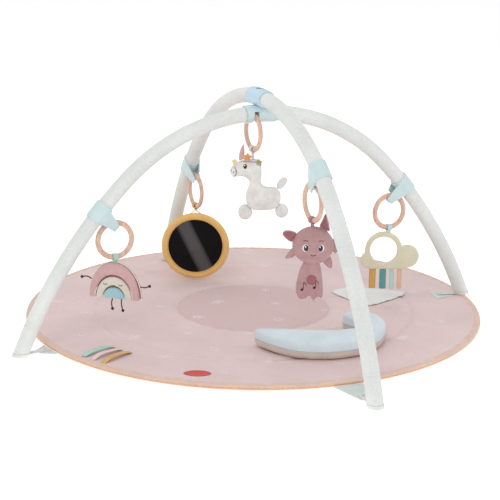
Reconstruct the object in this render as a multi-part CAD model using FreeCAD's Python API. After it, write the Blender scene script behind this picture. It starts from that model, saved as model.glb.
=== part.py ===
"""Activity play gym: a round padded mat, two crossed arches and five hanging toys.

Frame: origin on the floor under the crown pivot, +X along the lower arch towards its back foot,
+Y along the upper arch towards its back foot, +Z up.  All sizes are millimetres.
"""
import FreeCAD, Part
import math
import os

V = FreeCAD.Vector
X_AXIS = V(1, 0, 0)
Y_AXIS = V(0, 1, 0)
Z_AXIS = V(0, 0, 1)

# ---- Mat: driving dimensions ----
MAT_R = 500.0
MAT_X = 35.0
MAT_Y = 94.0
COVER_T = 1.0
PADDING_T = 7.0
BINDING_WALL = 3.0
BINDING_LIP = 14.0
TAB_T = 1.2
TAB_BASE_W = 62.0
TAB_TIP_W = 22.0
RIBBON_LENGTH = 86.0
RIBBON_WIDTH = 17.0
RIBBON_T = 2.0
RIBBON_ANGLES = (-158.9, -155.8, -152.3)
LABEL_LENGTH = 50.0
LABEL_WIDTH = 56.0
LABEL_T = 1.0
FLAP_T = 1.6

# ---- Arches: driving dimensions ----
CROWN_A = 461.0
CROWN_STEP = 33.5
CROWN_ARC_R = 422.0
CROWN_ARC_DEG = 44.8
FOOT_OUTSIDE_MAT = 17.0
FOOT_CENTRE_Z = 15.0
SLEEVE_R = 16.0
SLEEVE_T = 1.2
ROD_R = 8.0
ROD_WALL = 1.4
CAP_T = 6.0
CAP_PLUG = 34.0
STRAP_T = 1.2
STRAP_WIDTH = 15.0
STRAP_LENGTH = 40.0
STRAP_EYE_R = 3.2

# ---- Crown joint ----
HUB_HALF = 34.0
HUB_WALL = 2.8
SPIGOT_LENGTH = 50.0
BOLT_R = 4.0
BOLT_HEAD_R = 8.0
BOLT_HEAD_T = 3.0
NUT_R = 7.0
NUT_T = 4.5
CROWN_PIN_R = 3.0
CROWN_PIN_DROP = 12.0
CROWN_PIN_SEAT = 4.0
CROWN_PIN_END = 1.4
CROWN_RING_X = -14.0

# ---- Sliders and rings ----
SLIDER_WALL = 2.6
SLIDER_HALF = 19.0
SLIDER_TIP_HALF = 9.0
HOOK_SLACK = 12.1
HOOK_BAR_R = 3.0
HOOK_GAP = 7.0
RING_R = 36.0
RING_RADIAL = 5.5
RING_AXIAL = 4.5

# ---- Clearances ----
BODY_GAP = 0.3
PIVOT_GAP = 0.05
RING_SIDE_GAP = 0.8
LOOP_GAP = 0.9
LOOP_T = 1.2
LOOP_W = 10.0
SEWN_IN = 3.0

# ---- Where each slider sits: arch, side, angle from the vertical, lean of its hook ----
SLIDERS = {
    "rainbow": ("a", -1, 49.3, 45.0),
    "cloud": ("a", 1, 49.2, 45.0),
    "creature": ("b", -1, 41.2, 37.0),
    "mirror": ("b", 1, 52.8, 49.0),
}
TOY_TURN = {"rainbow": -42.0, "cloud": -24.7, "creature": -24.7, "mirror": -24.7, "llama": -24.7}

# ---- Values worked out from the ones above ----
MAT_TOP = 2 * COVER_T + PADDING_T
RIM_TOP = MAT_TOP + COVER_T
BACK_LIFT = RIM_TOP + BODY_GAP
FOAM_R = SLEEVE_R - SLEEVE_T
BORE_R = ROD_R - ROD_WALL
HUB_R = SLEEVE_R + HUB_WALL
CROWN_B = CROWN_A + CROWN_STEP
FOOT_R = MAT_R + FOOT_OUTSIDE_MAT
MID_PLANE = (CROWN_A + CROWN_B) / 2
HOOK_HALF_GAP = RING_AXIAL + RING_SIDE_GAP
CUFF_R = SLEEVE_R + BODY_GAP + SLIDER_WALL
HOOK_REACH = CUFF_R + 2 * RING_RADIAL + HOOK_BAR_R + HOOK_SLACK
RING_DROP = RING_R - RING_RADIAL - HOOK_BAR_R - BODY_GAP


# ---------------------------------------------------------------- small helpers
def polar(radius, degrees, z=0.0):
    angle = math.radians(degrees)
    return V(radius * math.cos(angle), radius * math.sin(angle), z)


def box(x0, x1, y0, y1, z0, z1):
    return Part.makeBox(x1 - x0, y1 - y0, z1 - z0, V(x0, y0, z0))


def rod(start, end, radius):
    return Part.makeCylinder(radius, start.distanceToPoint(end), start, end - start)


def group(shapes):
    return Part.makeCompound(shapes)


def fused(shapes):
    result = shapes[0].multiFuse(shapes[1:]) if len(shapes) > 1 else shapes[0]
    return result.removeSplitter()


def prism(points, thickness):
    """Extrude a closed outline of straight edges along its own normal."""
    wire = Part.makePolygon(list(points) + [points[0]])
    return Part.Face(wire).extrude(thickness)


def smooth_prism(points, thickness):
    """Extrude a closed smooth outline through the given points."""
    curve = Part.BSplineCurve()
    curve.interpolate(Points=points, PeriodicFlag=True)
    return Part.Face(Part.Wire(curve.toShape())).extrude(thickness)


def mat_disc(radius, z0, z1):
    return Part.makeCylinder(radius, z1 - z0, V(MAT_X, MAT_Y, z0))


def turned(shape, degrees, at=V(0, 0, 0)):
    moved = shape.copy()
    moved.rotate(V(0, 0, 0), Z_AXIS, degrees)
    moved.translate(at)
    return moved


# ---------------------------------------------------------------- arch geometry
class Arch:
    """One arch in its own plane: x along it, y across it, z up; the front foot is at -x."""

    def __init__(self, name, crown_z, heading):
        self.name = name
        self.crown_z = crown_z
        self.heading = heading
        self.crown_centre = crown_z - CROWN_ARC_R
        bend = math.radians(CROWN_ARC_DEG)
        join_x = CROWN_ARC_R * math.sin(bend)
        join_z = self.crown_centre + CROWN_ARC_R * math.cos(bend)
        run = FOOT_R - join_x
        drop = FOOT_CENTRE_Z - join_z
        along = run * math.sin(bend) + drop * math.cos(bend)
        self.leg_r = -(run * run + drop * drop) / (2 * along)
        self.leg_x = join_x - self.leg_r * math.sin(bend)
        self.leg_z = join_z - self.leg_r * math.cos(bend)
        self.foot_deg = math.degrees(math.atan2(FOOT_R - self.leg_x, FOOT_CENTRE_Z - self.leg_z))

    def point(self, side, degrees):
        angle = math.radians(degrees)
        if degrees < CROWN_ARC_DEG:
            x = CROWN_ARC_R * math.sin(angle)
            z = self.crown_centre + CROWN_ARC_R * math.cos(angle)
        else:
            x = self.leg_x + self.leg_r * math.sin(angle)
            z = self.leg_z + self.leg_r * math.cos(angle)
        return V(side * x, 0, z)

    def arc(self, side, centre_x, centre_z, radius, start, end, tube_r):
        """A round bar of tube_r bent along an arc from start to end degrees off the vertical."""
        first = math.radians(start)
        at = V(side * (centre_x + radius * math.sin(first)), 0, centre_z + radius * math.cos(first))
        tangent = V(side * math.cos(first), 0, -math.sin(first))
        face = Part.Face(Part.Wire(Part.Circle(at, tangent, tube_r).toShape()))
        return face.revolve(V(side * centre_x, 0, centre_z), Y_AXIS, side * (end - start))

    def bar(self, side, start, tube_r, end=None):
        """The bent bar from start degrees on the crown arc down past the foot."""
        last = self.foot_deg + 4.0 if end is None else end
        upper = self.arc(side, 0, self.crown_centre, CROWN_ARC_R, start, CROWN_ARC_DEG, tube_r)
        lower = self.arc(side, self.leg_x, self.leg_z, self.leg_r, CROWN_ARC_DEG, last, tube_r)
        return fused([upper, lower])

    def floor_z(self, side):
        return 0.0 if side < 0 else BACK_LIFT

    def slab(self, low, high):
        reach = FOOT_R + 200
        return box(-reach, reach, -100, 100, low, high)

    def place(self, shape):
        return turned(shape, self.heading)


ARCH_A = Arch("arch_a", CROWN_A, 0.0)
ARCH_B = Arch("arch_b", CROWN_B, 90.0)
ARCHES = {"a": ARCH_A, "b": ARCH_B}
HUB_DEG = math.degrees(HUB_HALF / CROWN_ARC_R)
SPIGOT_DEG = math.degrees((HUB_HALF + SPIGOT_LENGTH) / CROWN_ARC_R)


def leg_tube(arch, side, outer, inner):
    """A hollow leg from the hub's end to the top of its foot cap."""
    body = arch.bar(side, HUB_DEG, outer)
    if inner:
        body = body.cut(arch.bar(side, HUB_DEG, inner))
    low = arch.floor_z(side) + CAP_T
    return body.common(arch.slab(low, arch.crown_z + 100))


def arch_rods(arch):
    return arch.place(group([leg_tube(arch, side, ROD_R, BORE_R) for side in (-1, 1)]))


def arch_foam(arch):
    return arch.place(group([leg_tube(arch, side, FOAM_R, ROD_R) for side in (-1, 1)]))


def arch_sleeve(arch):
    return arch.place(group([leg_tube(arch, side, SLEEVE_R, FOAM_R) for side in (-1, 1)]))


def foot_cap(arch, side):
    low = arch.floor_z(side)
    sole = arch.bar(side, 30.0, SLEEVE_R + 0.6).common(arch.slab(low, low + CAP_T))
    plug = arch.bar(side, 30.0, BORE_R).common(arch.slab(low + CAP_T, low + CAP_T + CAP_PLUG))
    return fused([sole, plug])


def arch_caps(arch):
    return arch.place(group([foot_cap(arch, side) for side in (-1, 1)]))


def foot_strap(arch, side):
    """A short webbing strap with an eye, from the foot cap towards the mat's middle."""
    cap = arch.place(foot_cap(arch, side))
    foot = arch.place(Part.Vertex(arch.point(side, arch.foot_deg))).Point
    inward = V(MAT_X - foot.x, MAT_Y - foot.y, 0)
    heading = math.degrees(math.atan2(inward.y, inward.x))
    low = (TAB_T + BODY_GAP) if side < 0 else (RIM_TOP + TAB_T + BODY_GAP)
    length = SLEEVE_R + STRAP_LENGTH
    strap = box(4, length, -STRAP_WIDTH / 2, STRAP_WIDTH / 2, low, low + STRAP_T)
    eye = Part.makeCylinder(STRAP_EYE_R, 20, V(length - 8, 0, low - 5))
    strap = turned(strap.cut(eye), heading, V(foot.x, foot.y, 0))
    rest = strap.cut(cap).Solids
    return max(rest, key=lambda piece: piece.Volume)


def arch_straps(arch):
    return group([foot_strap(arch, side) for side in (-1, 1)])


# ---------------------------------------------------------------- crown joint
def hub_body(arch, keep_low, keep_high):
    """The cuff where both rods of an arch meet, with a spigot into each rod."""
    pieces = []
    for side in (-1, 1):
        pieces.append(arch.arc(side, 0, arch.crown_centre, CROWN_ARC_R, 0, HUB_DEG, HUB_R))
        pieces.append(arch.arc(side, 0, arch.crown_centre, CROWN_ARC_R, 0, SPIGOT_DEG, BORE_R))
    return fused(pieces).common(arch.slab(keep_low, keep_high))


def crown_hub_lower():
    hub = hub_body(ARCH_A, 0, MID_PLANE - BODY_GAP / 2)
    tongue_low = CROWN_A - CROWN_PIN_DROP - CROWN_PIN_R - 5.0
    half = HOOK_HALF_GAP + 3.2
    tongue = Part.makeCylinder(9.0, 2 * half, V(CROWN_RING_X - half, 0, tongue_low + 9.0), X_AXIS)
    hub = hub.fuse(tongue)
    slot = box(CROWN_RING_X - HOOK_HALF_GAP, CROWN_RING_X + HOOK_HALF_GAP, -40, 40,
               tongue_low - 20, CROWN_A + 6.0)
    bolt_hole = Part.makeCylinder(BOLT_R, 200, V(0, 0, CROWN_A - 100))
    nut_room = hexagon(NUT_R, CROWN_A - 40, nut_low() + NUT_T)
    pin_hole = crown_ring_pin()
    return hub.cut(slot).cut(bolt_hole).cut(nut_room).cut(pin_hole).removeSplitter()


def crown_hub_upper():
    hub = hub_body(ARCH_B, MID_PLANE + BODY_GAP / 2, CROWN_B + 100)
    hole = Part.makeCylinder(BOLT_R + PIVOT_GAP, 200, V(0, 0, CROWN_B - 100))
    seat = Part.makeCylinder(BOLT_HEAD_R + BODY_GAP, 50, V(0, 0, head_low() - PIVOT_GAP))
    return ARCH_B.place(hub.cut(hole).cut(seat))


def head_low():
    return CROWN_B + HUB_R - BOLT_HEAD_T - 1.0


def nut_low():
    return CROWN_A - HUB_R + 2.0


def hexagon(across_corner, low, high):
    points = [polar(across_corner, 60 * k + 30, low) for k in range(6)]
    return prism(points, V(0, 0, high - low))


def pivot_bolt():
    shaft = Part.makeCylinder(BOLT_R, head_low() - nut_low(), V(0, 0, nut_low()))
    head = Part.makeCylinder(BOLT_HEAD_R, BOLT_HEAD_T, V(0, 0, head_low()))
    socket = hexagon(3.0, head_low() + 1.2, head_low() + 10)
    return shaft.fuse(head).cut(socket).removeSplitter()


def pivot_nut():
    hole = Part.makeCylinder(BOLT_R, 40, V(0, 0, nut_low() - 10))
    return hexagon(NUT_R, nut_low(), nut_low() + NUT_T).cut(hole)


def crown_ring_pin():
    height = CROWN_A - CROWN_PIN_DROP
    start = V(CROWN_RING_X - HOOK_HALF_GAP - CROWN_PIN_SEAT, 0, height)
    end = V(CROWN_RING_X + HOOK_HALF_GAP + CROWN_PIN_END, 0, height)
    return rod(start, end, CROWN_PIN_R)


# ---------------------------------------------------------------- sliders
def toy_slider(name):
    """A cuff round the tube whose two flat cheeks carry the bar that the ring hangs on."""
    arm, side, degrees, lean = SLIDERS[name]
    arch = ARCHES[arm]
    at = arch.point(side, degrees)
    front = -1 if arm == "a" else 1
    tilt = math.radians(lean)
    along = V(-math.cos(tilt), 0, side * math.sin(tilt))
    down = V(-side * math.sin(tilt), 0, -math.cos(tilt))
    turn = FreeCAD.Matrix(along.x, 0, down.x, at.x, 0, 1, 0, 0, along.z, 0, down.z, at.z, 0, 0, 0, 1)

    def local(shape):
        return shape.transformShape(turn, True)

    outer_r = CUFF_R
    tip_r = HOOK_HALF_GAP + SLIDER_WALL
    shell = local(teardrop(outer_r, tip_r, HOOK_REACH, SLIDER_HALF + 4))
    room_end = HOOK_REACH - HOOK_HALF_GAP + HOOK_BAR_R + 1.0
    room = local(teardrop(SLEEVE_R + BODY_GAP, HOOK_HALF_GAP, room_end, 60))
    below = local(box(-60, 60, -HOOK_HALF_GAP, HOOK_HALF_GAP, room_end, 80))
    bar = local(Part.makeCylinder(HOOK_BAR_R, 2 * tip_r - 2, V(0, -tip_r + 1, HOOK_REACH), Y_AXIS))
    outline = local(cheek_outline())
    reach = math.degrees(SLIDER_HALF / arch_radius(arch, degrees))
    cuff = cuff_ring(arch, side, degrees, reach, outer_r)
    bore = cuff_ring(arch, side, degrees, reach + 6, SLEEVE_R + BODY_GAP)
    cheeks = shell.common(outline).cut(room).cut(below)
    body = fused([cuff, cheeks.fuse(bar)]).cut(bore)
    mouth_low = HOOK_REACH - HOOK_BAR_R - 2 * RING_RADIAL
    mouth = local(box(-60, 60, min(0, -front * 80), max(0, -front * 80), mouth_low, mouth_low + HOOK_GAP))
    body = body.cut(mouth)
    return arch.place(max(body.Solids, key=lambda piece: piece.Volume))


def arch_radius(arch, degrees):
    return CROWN_ARC_R if degrees < CROWN_ARC_DEG else arch.leg_r


def cuff_ring(arch, side, degrees, reach, radius):
    if degrees < CROWN_ARC_DEG:
        return arch.arc(side, 0, arch.crown_centre, CROWN_ARC_R, degrees - reach, degrees + reach, radius)
    return arch.arc(side, arch.leg_x, arch.leg_z, arch.leg_r, degrees - reach, degrees + reach, radius)


def teardrop(big_r, small_r, reach, half_length):
    """A prism along local x: the hull of a big circle at z 0 and a small one at z reach."""
    slope = math.asin((big_r - small_r) / reach)
    cos_s = math.cos(slope)
    sin_s = math.sin(slope)
    big = Part.makeCylinder(big_r, 2 * half_length, V(-half_length, 0, 0), X_AXIS)
    small = Part.makeCylinder(small_r, 2 * half_length, V(-half_length, 0, reach), X_AXIS)
    corners = [
        V(-half_length, big_r * cos_s, big_r * sin_s),
        V(-half_length, small_r * cos_s, reach + small_r * sin_s),
        V(-half_length, -small_r * cos_s, reach + small_r * sin_s),
        V(-half_length, -big_r * cos_s, big_r * sin_s),
    ]
    middle = prism(corners, V(2 * half_length, 0, 0))
    return fused([big, small, middle])


def cheek_outline():
    """Seen from the side, the cheeks narrow from the cuff to a rounded tip at the bar."""
    width = SLIDER_HALF - 1.0
    tip = SLIDER_TIP_HALF
    corners = [V(-width, -60, 0), V(width, -60, 0), V(tip, -60, HOOK_REACH), V(-tip, -60, HOOK_REACH)]
    wedge = prism(corners, V(0, 120, 0))
    end = Part.makeCylinder(tip, 120, V(0, -60, HOOK_REACH), Y_AXIS)
    return fused([wedge, end])


def hook_bar_point(name):
    """The middle of the bar that a toy's ring hangs on, and its arch's heading."""
    if name == "llama":
        return V(CROWN_RING_X, 0, CROWN_A - CROWN_PIN_DROP), ARCH_B.heading
    arm, side, degrees, lean = SLIDERS[name]
    arch = ARCHES[arm]
    tilt = math.radians(lean)
    at = arch.point(side, degrees)
    at = at + V(-side * HOOK_REACH * math.sin(tilt), 0, -HOOK_REACH * math.cos(tilt))
    return arch.place(Part.Vertex(at)).Point, arch.heading


def ring_centre(name):
    at, heading = hook_bar_point(name)
    return at - V(0, 0, RING_DROP), heading


def hang_point(name):
    at, heading = ring_centre(name)
    return at - V(0, 0, RING_R), heading


def hanging_ring(name):
    centre, heading = ring_centre(name)
    section = Part.Ellipse(V(RING_R + RING_RADIAL, 0, 0), V(RING_R, RING_AXIAL, 0), V(RING_R, 0, 0))
    face = Part.Face(Part.Wire(section.toShape()))
    ring = face.revolve(V(0, 0, 0), Y_AXIS, 360)
    return turned(ring, heading, centre)


def toy_loop(name, tail, foot_x=0.0):
    """The sewn loop round the ring's lowest point, with a tail down into the toy."""
    at, heading = hang_point(name)
    inner = RING_RADIAL + LOOP_GAP
    outer = inner + LOOP_T
    half = LOOP_W / 2
    band = Part.makeCylinder(outer, LOOP_W, V(-half, 0, 0), X_AXIS)
    band = band.cut(Part.makeCylinder(inner, LOOP_W + 2, V(-half - 1, 0, 0), X_AXIS))
    strip = box(-half, half, -LOOP_T, LOOP_T, -inner - tail, -inner - LOOP_T / 2)
    return turned(band.fuse(strip).removeSplitter(), heading, at)


def toy(name, shape):
    at, heading = hang_point(name)
    return turned(shape, TOY_TURN[name], at)


# ---------------------------------------------------------------- mat
def mat_base_cover():
    return mat_disc(MAT_R - BINDING_LIP, 0, COVER_T)


def mat_padding():
    return mat_disc(MAT_R - BINDING_WALL, COVER_T, COVER_T + PADDING_T)


def mat_top_cover():
    return mat_disc(MAT_R - BINDING_WALL, COVER_T + PADDING_T, MAT_TOP)


def mat_edge_binding():
    ring = mat_disc(MAT_R, 0, RIM_TOP).cut(mat_disc(MAT_R - BINDING_LIP, -1, RIM_TOP + 1))
    return ring.cut(mat_disc(MAT_R - BINDING_WALL, COVER_T, MAT_TOP))


def mat_ribbons():
    ribbons = []
    for angle in RIBBON_ANGLES:
        outer = MAT_R - BINDING_LIP - 1.0
        strip = box(outer - RIBBON_LENGTH, outer, -RIBBON_WIDTH / 2, RIBBON_WIDTH / 2,
                    MAT_TOP, MAT_TOP + RIBBON_T)
        ribbons.append(turned(strip, angle, V(MAT_X, MAT_Y, 0)))
    return group(ribbons)


def mat_label():
    """A plain stitched patch with round ends, flat on the mat near its front edge."""
    r = LABEL_LENGTH / 4
    half = LABEL_LENGTH / 2 - r
    middle = box(-half, half, -LABEL_WIDTH / 2, LABEL_WIDTH / 2, MAT_TOP, MAT_TOP + LABEL_T)
    side = box(-half - r, half + r, -LABEL_WIDTH / 2 + r, LABEL_WIDTH / 2 - r, MAT_TOP, MAT_TOP + LABEL_T)
    ends = [Part.makeCylinder(r, LABEL_T, V(sx * half, sy * (LABEL_WIDTH / 2 - r), MAT_TOP))
            for sx in (-1, 1) for sy in (-1, 1)]
    return turned(fused([middle, side] + ends), -24.7, polar(448.0, -128.6) + V(MAT_X, MAT_Y, 0))


def mat_flap():
    """The white crinkle flap lying on the right of the mat."""
    outline = [V(182, 108, MAT_TOP), V(240, 26, MAT_TOP), V(268, 14, MAT_TOP), V(342, 92, MAT_TOP),
               V(330, 128, MAT_TOP), V(215, 142, MAT_TOP)]
    return turned(smooth_prism(outline, V(0, 0, FLAP_T)), -24.7, V(MAT_X, MAT_Y, 0))


def mat_tab(arch, side):
    """Webbing tab: outside the rim for a front foot, a flat patch on top for a back foot."""
    foot = arch.place(Part.Vertex(arch.point(side, arch.foot_deg))).Point
    outward = V(foot.x - MAT_X, foot.y - MAT_Y, 0)
    heading = math.degrees(math.atan2(outward.y, outward.x))
    distance = outward.Length
    if side < 0:
        near = MAT_R
        far = distance - SLEEVE_R - 0.42 * STRAP_LENGTH
        low = 0.0
    else:
        near = distance - SLEEVE_R - STRAP_LENGTH - 12
        far = distance - SLEEVE_R - 6
        low = MAT_TOP
    high = low + TAB_T
    corners = [V(near, -TAB_BASE_W / 2, low), V(near, TAB_BASE_W / 2, low),
               V(far, TAB_TIP_W / 2, low), V(far, -TAB_TIP_W / 2, low)]
    tab = turned(prism(corners, V(0, 0, high - low)), heading, V(MAT_X, MAT_Y, 0))
    if side < 0:
        tab = tab.cut(mat_disc(MAT_R, -1, 20))
    return tab


def mat_tabs():
    return group([mat_tab(arch, side) for arch in (ARCH_A, ARCH_B) for side in (-1, 1)])


# ---------------------------------------------------------------- tummy-time pillow
PILLOW_TURN = -24.7
PILLOW_H = 46.0
PILLOW_SKIN = 1.5
PILLOW_OUTLINE = [
    (-12, -268), (32, -332), (100, -366), (170, -360), (230, -326), (272, -266), (286, -200),
    (270, -150), (232, -128), (194, -142), (190, -166), (212, -196), (216, -232), (188, -260),
    (130, -276), (60, -272),
]


def pillow_solid(inset, low, high):
    centre = V(150, -262, 0)
    points = []
    for x, y in PILLOW_OUTLINE:
        offset = V(x, y, 0) - centre
        share = 1 - inset / offset.Length
        points.append(V(centre.x + offset.x * share, centre.y + offset.y * share, low))
    return turned(smooth_prism(points, V(0, 0, high - low)), PILLOW_TURN, V(MAT_X, MAT_Y, 0))


def pillow_low():
    return MAT_TOP + BODY_GAP


def pillow_cover():
    whole = pillow_solid(0, pillow_low(), pillow_low() + PILLOW_H)
    return whole.cut(pillow_filling())


def pillow_filling():
    skin = PILLOW_SKIN
    return pillow_solid(6 * skin, pillow_low() + skin, pillow_low() + PILLOW_H - skin)


# ---------------------------------------------------------------- rainbow toy
RAINBOW_TOP = -10.5
RAINBOW_H = 76.5
RAINBOW_W = 58.0
RAINBOW_MID = (42.0, 48.0)
RAINBOW_CORE = (25.0, 25.5)
RAINBOW_HALF_DEPTH = 11.0
TOY_CORD_R = 1.3
TOY_KNOT_R = 3.0
RAINBOW_CORDS = (((-51, -52), (-74, -49)), ((53, -58), (75, -55)), ((-6, 0), (-7, -24)), ((13, 0), (16, -26)))


def half_ellipse(width, height, y0, y1):
    base = RAINBOW_TOP - RAINBOW_H
    ellipse = Part.Ellipse(V(0, y0, base + height), V(width, y0, base), V(0, y0, base))
    arc = Part.ArcOfEllipse(ellipse, -math.pi / 2, math.pi / 2).toShape()
    line = Part.makeLine(arc.Vertexes[0].Point, arc.Vertexes[-1].Point)
    return Part.Face(Part.Wire([arc, line])).extrude(V(0, y1 - y0, 0))


def rainbow_parts():
    front = -RAINBOW_HALF_DEPTH
    back = RAINBOW_HALF_DEPTH
    outer = half_ellipse(RAINBOW_W, RAINBOW_H, front, 0)
    middle = half_ellipse(RAINBOW_MID[0], RAINBOW_MID[1], front, 0)
    core = half_ellipse(RAINBOW_CORE[0], RAINBOW_CORE[1], front, 0)
    return {
        "rainbow_outer_band": outer.cut(middle),
        "rainbow_middle_band": middle.cut(core),
        "rainbow_core": core,
        "rainbow_back": half_ellipse(RAINBOW_W, RAINBOW_H, 0, back),
        "rainbow_cords": rainbow_cords(),
    }


def rainbow_cords():
    base = RAINBOW_TOP - RAINBOW_H
    cords = []
    for index, (start, end) in enumerate(RAINBOW_CORDS):
        shift = base if index > 1 else 0
        first = V(start[0], 0, start[1] + shift)
        last = V(end[0], 0, end[1] + shift)
        knot = Part.makeSphere(TOY_KNOT_R, last, last - first)
        cords.append(fused([rod(first, last, TOY_CORD_R), knot]))
    whole = half_ellipse(RAINBOW_W, RAINBOW_H, -RAINBOW_HALF_DEPTH, RAINBOW_HALF_DEPTH)
    return group([cord.cut(whole) for cord in cords])


# ---------------------------------------------------------------- cloud toy
CLOUD_T = 9.0
CLOUD_HOLE_R = 30.0
CLOUD_CENTRE = (-9.0, -52.0)
CLOUD_LOBES = ((-9.0, -52.0, 41.5), (44.0, -66.0, 26.0), (-40.0, -76.0, 20.0))
CLOUD_BASE_Z = -92.0
CLOUD_RIBBONS = ((-32.0, 16.0), (-9.0, 16.0), (11.0, 11.0), (28.0, 11.0))
CLOUD_RIBBON_L = 46.0


def cloud_plate():
    lobes = [Part.makeCylinder(r, CLOUD_T, V(x, -CLOUD_T / 2, z), Y_AXIS) for x, z, r in CLOUD_LOBES]
    fill = box(-40, 44, -CLOUD_T / 2, CLOUD_T / 2, CLOUD_BASE_Z - 4, -66)
    hole = Part.makeCylinder(CLOUD_HOLE_R, 40, V(CLOUD_CENTRE[0], -20, CLOUD_CENTRE[1]), Y_AXIS)
    return fused(lobes + [fill]).cut(hole).removeSplitter()


def cloud_ribbons():
    top = CLOUD_BASE_Z - 4
    return group([box(x - w / 2, x + w / 2, -1, 1, top - CLOUD_RIBBON_L, top) for x, w in CLOUD_RIBBONS])


# ---------------------------------------------------------------- mirror toy
MIRROR_R = 79.0
MIRROR_RIM = 16.0
MIRROR_DEPTH = 14.0
MIRROR_DROP = 94.0
MIRROR_AHEAD = 12.0
GLASS_T = 2.0
GLASS_LIP = 3.0
MIRROR_BACK_T = 5.0
MIRROR_STRAP_T = 2.0
MIRROR_STRAP_W = 10.0


def mirror_disc(radius, y0, y1):
    return Part.makeCylinder(radius, y1 - y0, V(0, y0, -MIRROR_DROP), Y_AXIS)


def mirror_parts():
    front = -MIRROR_AHEAD - MIRROR_DEPTH / 2
    back = front + MIRROR_DEPTH
    open_r = MIRROR_R - MIRROR_RIM
    glass_y = front + MIRROR_DEPTH / 2 - GLASS_T
    frame = mirror_disc(MIRROR_R, front, back)
    frame = frame.makeFillet(MIRROR_DEPTH / 2 - 1, frame.Edges[:1] + frame.Edges[2:3])
    frame = frame.cut(mirror_disc(open_r, front - 1, back + 1))
    glass = mirror_disc(open_r + GLASS_LIP, glass_y, glass_y + GLASS_T)
    panel = mirror_disc(open_r + GLASS_LIP, glass_y + GLASS_T, back)
    frame = frame.cut(glass).cut(panel)
    return {"mirror_frame": frame, "mirror_glass": glass, "mirror_back": panel,
            "mirror_strap": mirror_strap(back)}


def mirror_strap(back):
    """A band sewn behind the frame whose two arms meet in the loop on the ring."""
    arms = []
    for side in (-1, 1):
        shoulder = V(side * 50, back + 1, -MIRROR_DROP + 50)
        knot = V(side * 2, 0, -RING_RADIAL - LOOP_GAP - 6.0)
        arms.append(strap_arm(shoulder, knot))
    band = mirror_disc(MIRROR_R - 3, back, back + MIRROR_STRAP_T)
    return fused(arms + [band.cut(mirror_disc(MIRROR_R - 15, back - 1, back + 10))])


def strap_arm(shoulder, knot):
    """A flat arm from the band behind the frame up to the loop, wider at the loop."""
    across = (knot - shoulder).cross(Y_AXIS)
    across.normalize()
    across = across * (1.5 * MIRROR_STRAP_T)
    sections = []
    for at, reach in ((shoulder, 1.0), (knot, MIRROR_STRAP_W / 2)):
        width = V(0, reach, 0)
        corners = [at - across - width, at + across - width, at + across + width, at - across + width]
        sections.append(Part.makePolygon(corners + corners[:1]))
    return Part.makeLoft(sections, True)


# ---------------------------------------------------------------- soft toy shapes
def ellipsoid(centre, rx, ry, rz):
    ball = Part.makeSphere(1.0)
    scale = FreeCAD.Matrix()
    scale.scale(rx, ry, rz)
    shape = ball.transformGeometry(scale)
    shape.translate(centre)
    return shape


def pad(points, y0, y1):
    """A soft flat piece: a smooth outline in the x-z plane, thick in y."""
    return smooth_prism([V(x, y0, z) for x, z in points], V(0, y1 - y0, 0))


LLAMA_BODY = [
    (-52, -40), (-34, -24), (-6, -18), (16, -22), (22, -50), (26, -74), (54, -82), (64, -100),
    (56, -126), (28, -134), (-4, -130), (-18, -104), (-12, -72), (-24, -60), (-46, -58),
]
LLAMA_HALF = 17.0
LLAMA_LEGS = ((-15.0, -135.0, 15.0), (62.0, -131.0, 14.0))
LLAMA_FLOWERS = ((-38.0, -24.0, 6.0), (-11.0, -14.0, 8.0), (12.0, -26.0, 7.0))


def llama_parts():
    body = pad(LLAMA_BODY, -LLAMA_HALF, LLAMA_HALF)
    legs = group([Part.makeSphere(r, V(x, 0, z)) for x, z, r in LLAMA_LEGS])
    body = body.cut(legs)
    ear = pad([(-30, -24), (-28, -4), (-20, 12), (-17, -4), (-19, -21)], -4, 4).cut(body)
    tail = pad([(50, -82), (54, -66), (66, -58), (74, -66), (62, -84)], -4, 4).cut(body)
    flowers = group([ellipsoid(V(x, -LLAMA_HALF + 2, z), r, 5, r).cut(body) for x, z, r in LLAMA_FLOWERS])
    return {"llama_body": body, "llama_legs": legs, "llama_ear": ear, "llama_tail": tail,
            "llama_flowers": flowers}


CREATURE_HEAD = (2.0, -51.0, 41.0, 38.0)
CREATURE_HEAD_HALF = 24.0
CREATURE_BODY = [
    (-16, -84), (-27, -110), (-33, -140), (-27, -160), (-14, -163), (-2, -158), (8, -170),
    (15, -158), (27, -157), (24, -120), (16, -84), (0, -80),
]
CREATURE_BODY_HALF = 13.0
CREATURE_EARS = (
    ((14, -14), (34, -22), (31, 0), (25, 14), (19, 2)),
    ((-38, -44), (-30, -26), (-50, -20), (-59, -28), (-50, -40)),
    ((-30, -64), (-38, -56), (-48, -68), (-53, -78), (-36, -76)),
    ((40, -36), (52, -46), (52, -64), (44, -66), (38, -60)),
    ((20, -80), (34, -70), (42, -86), (39, -98), (28, -92)),
)
BUTTON_R = 11.0
BUTTON_TRAVEL = 2.0
BUTTON_T = 4.0
SOUND_BOX = (17.0, 20.0)
SOUND_Z = -118.0


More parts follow.
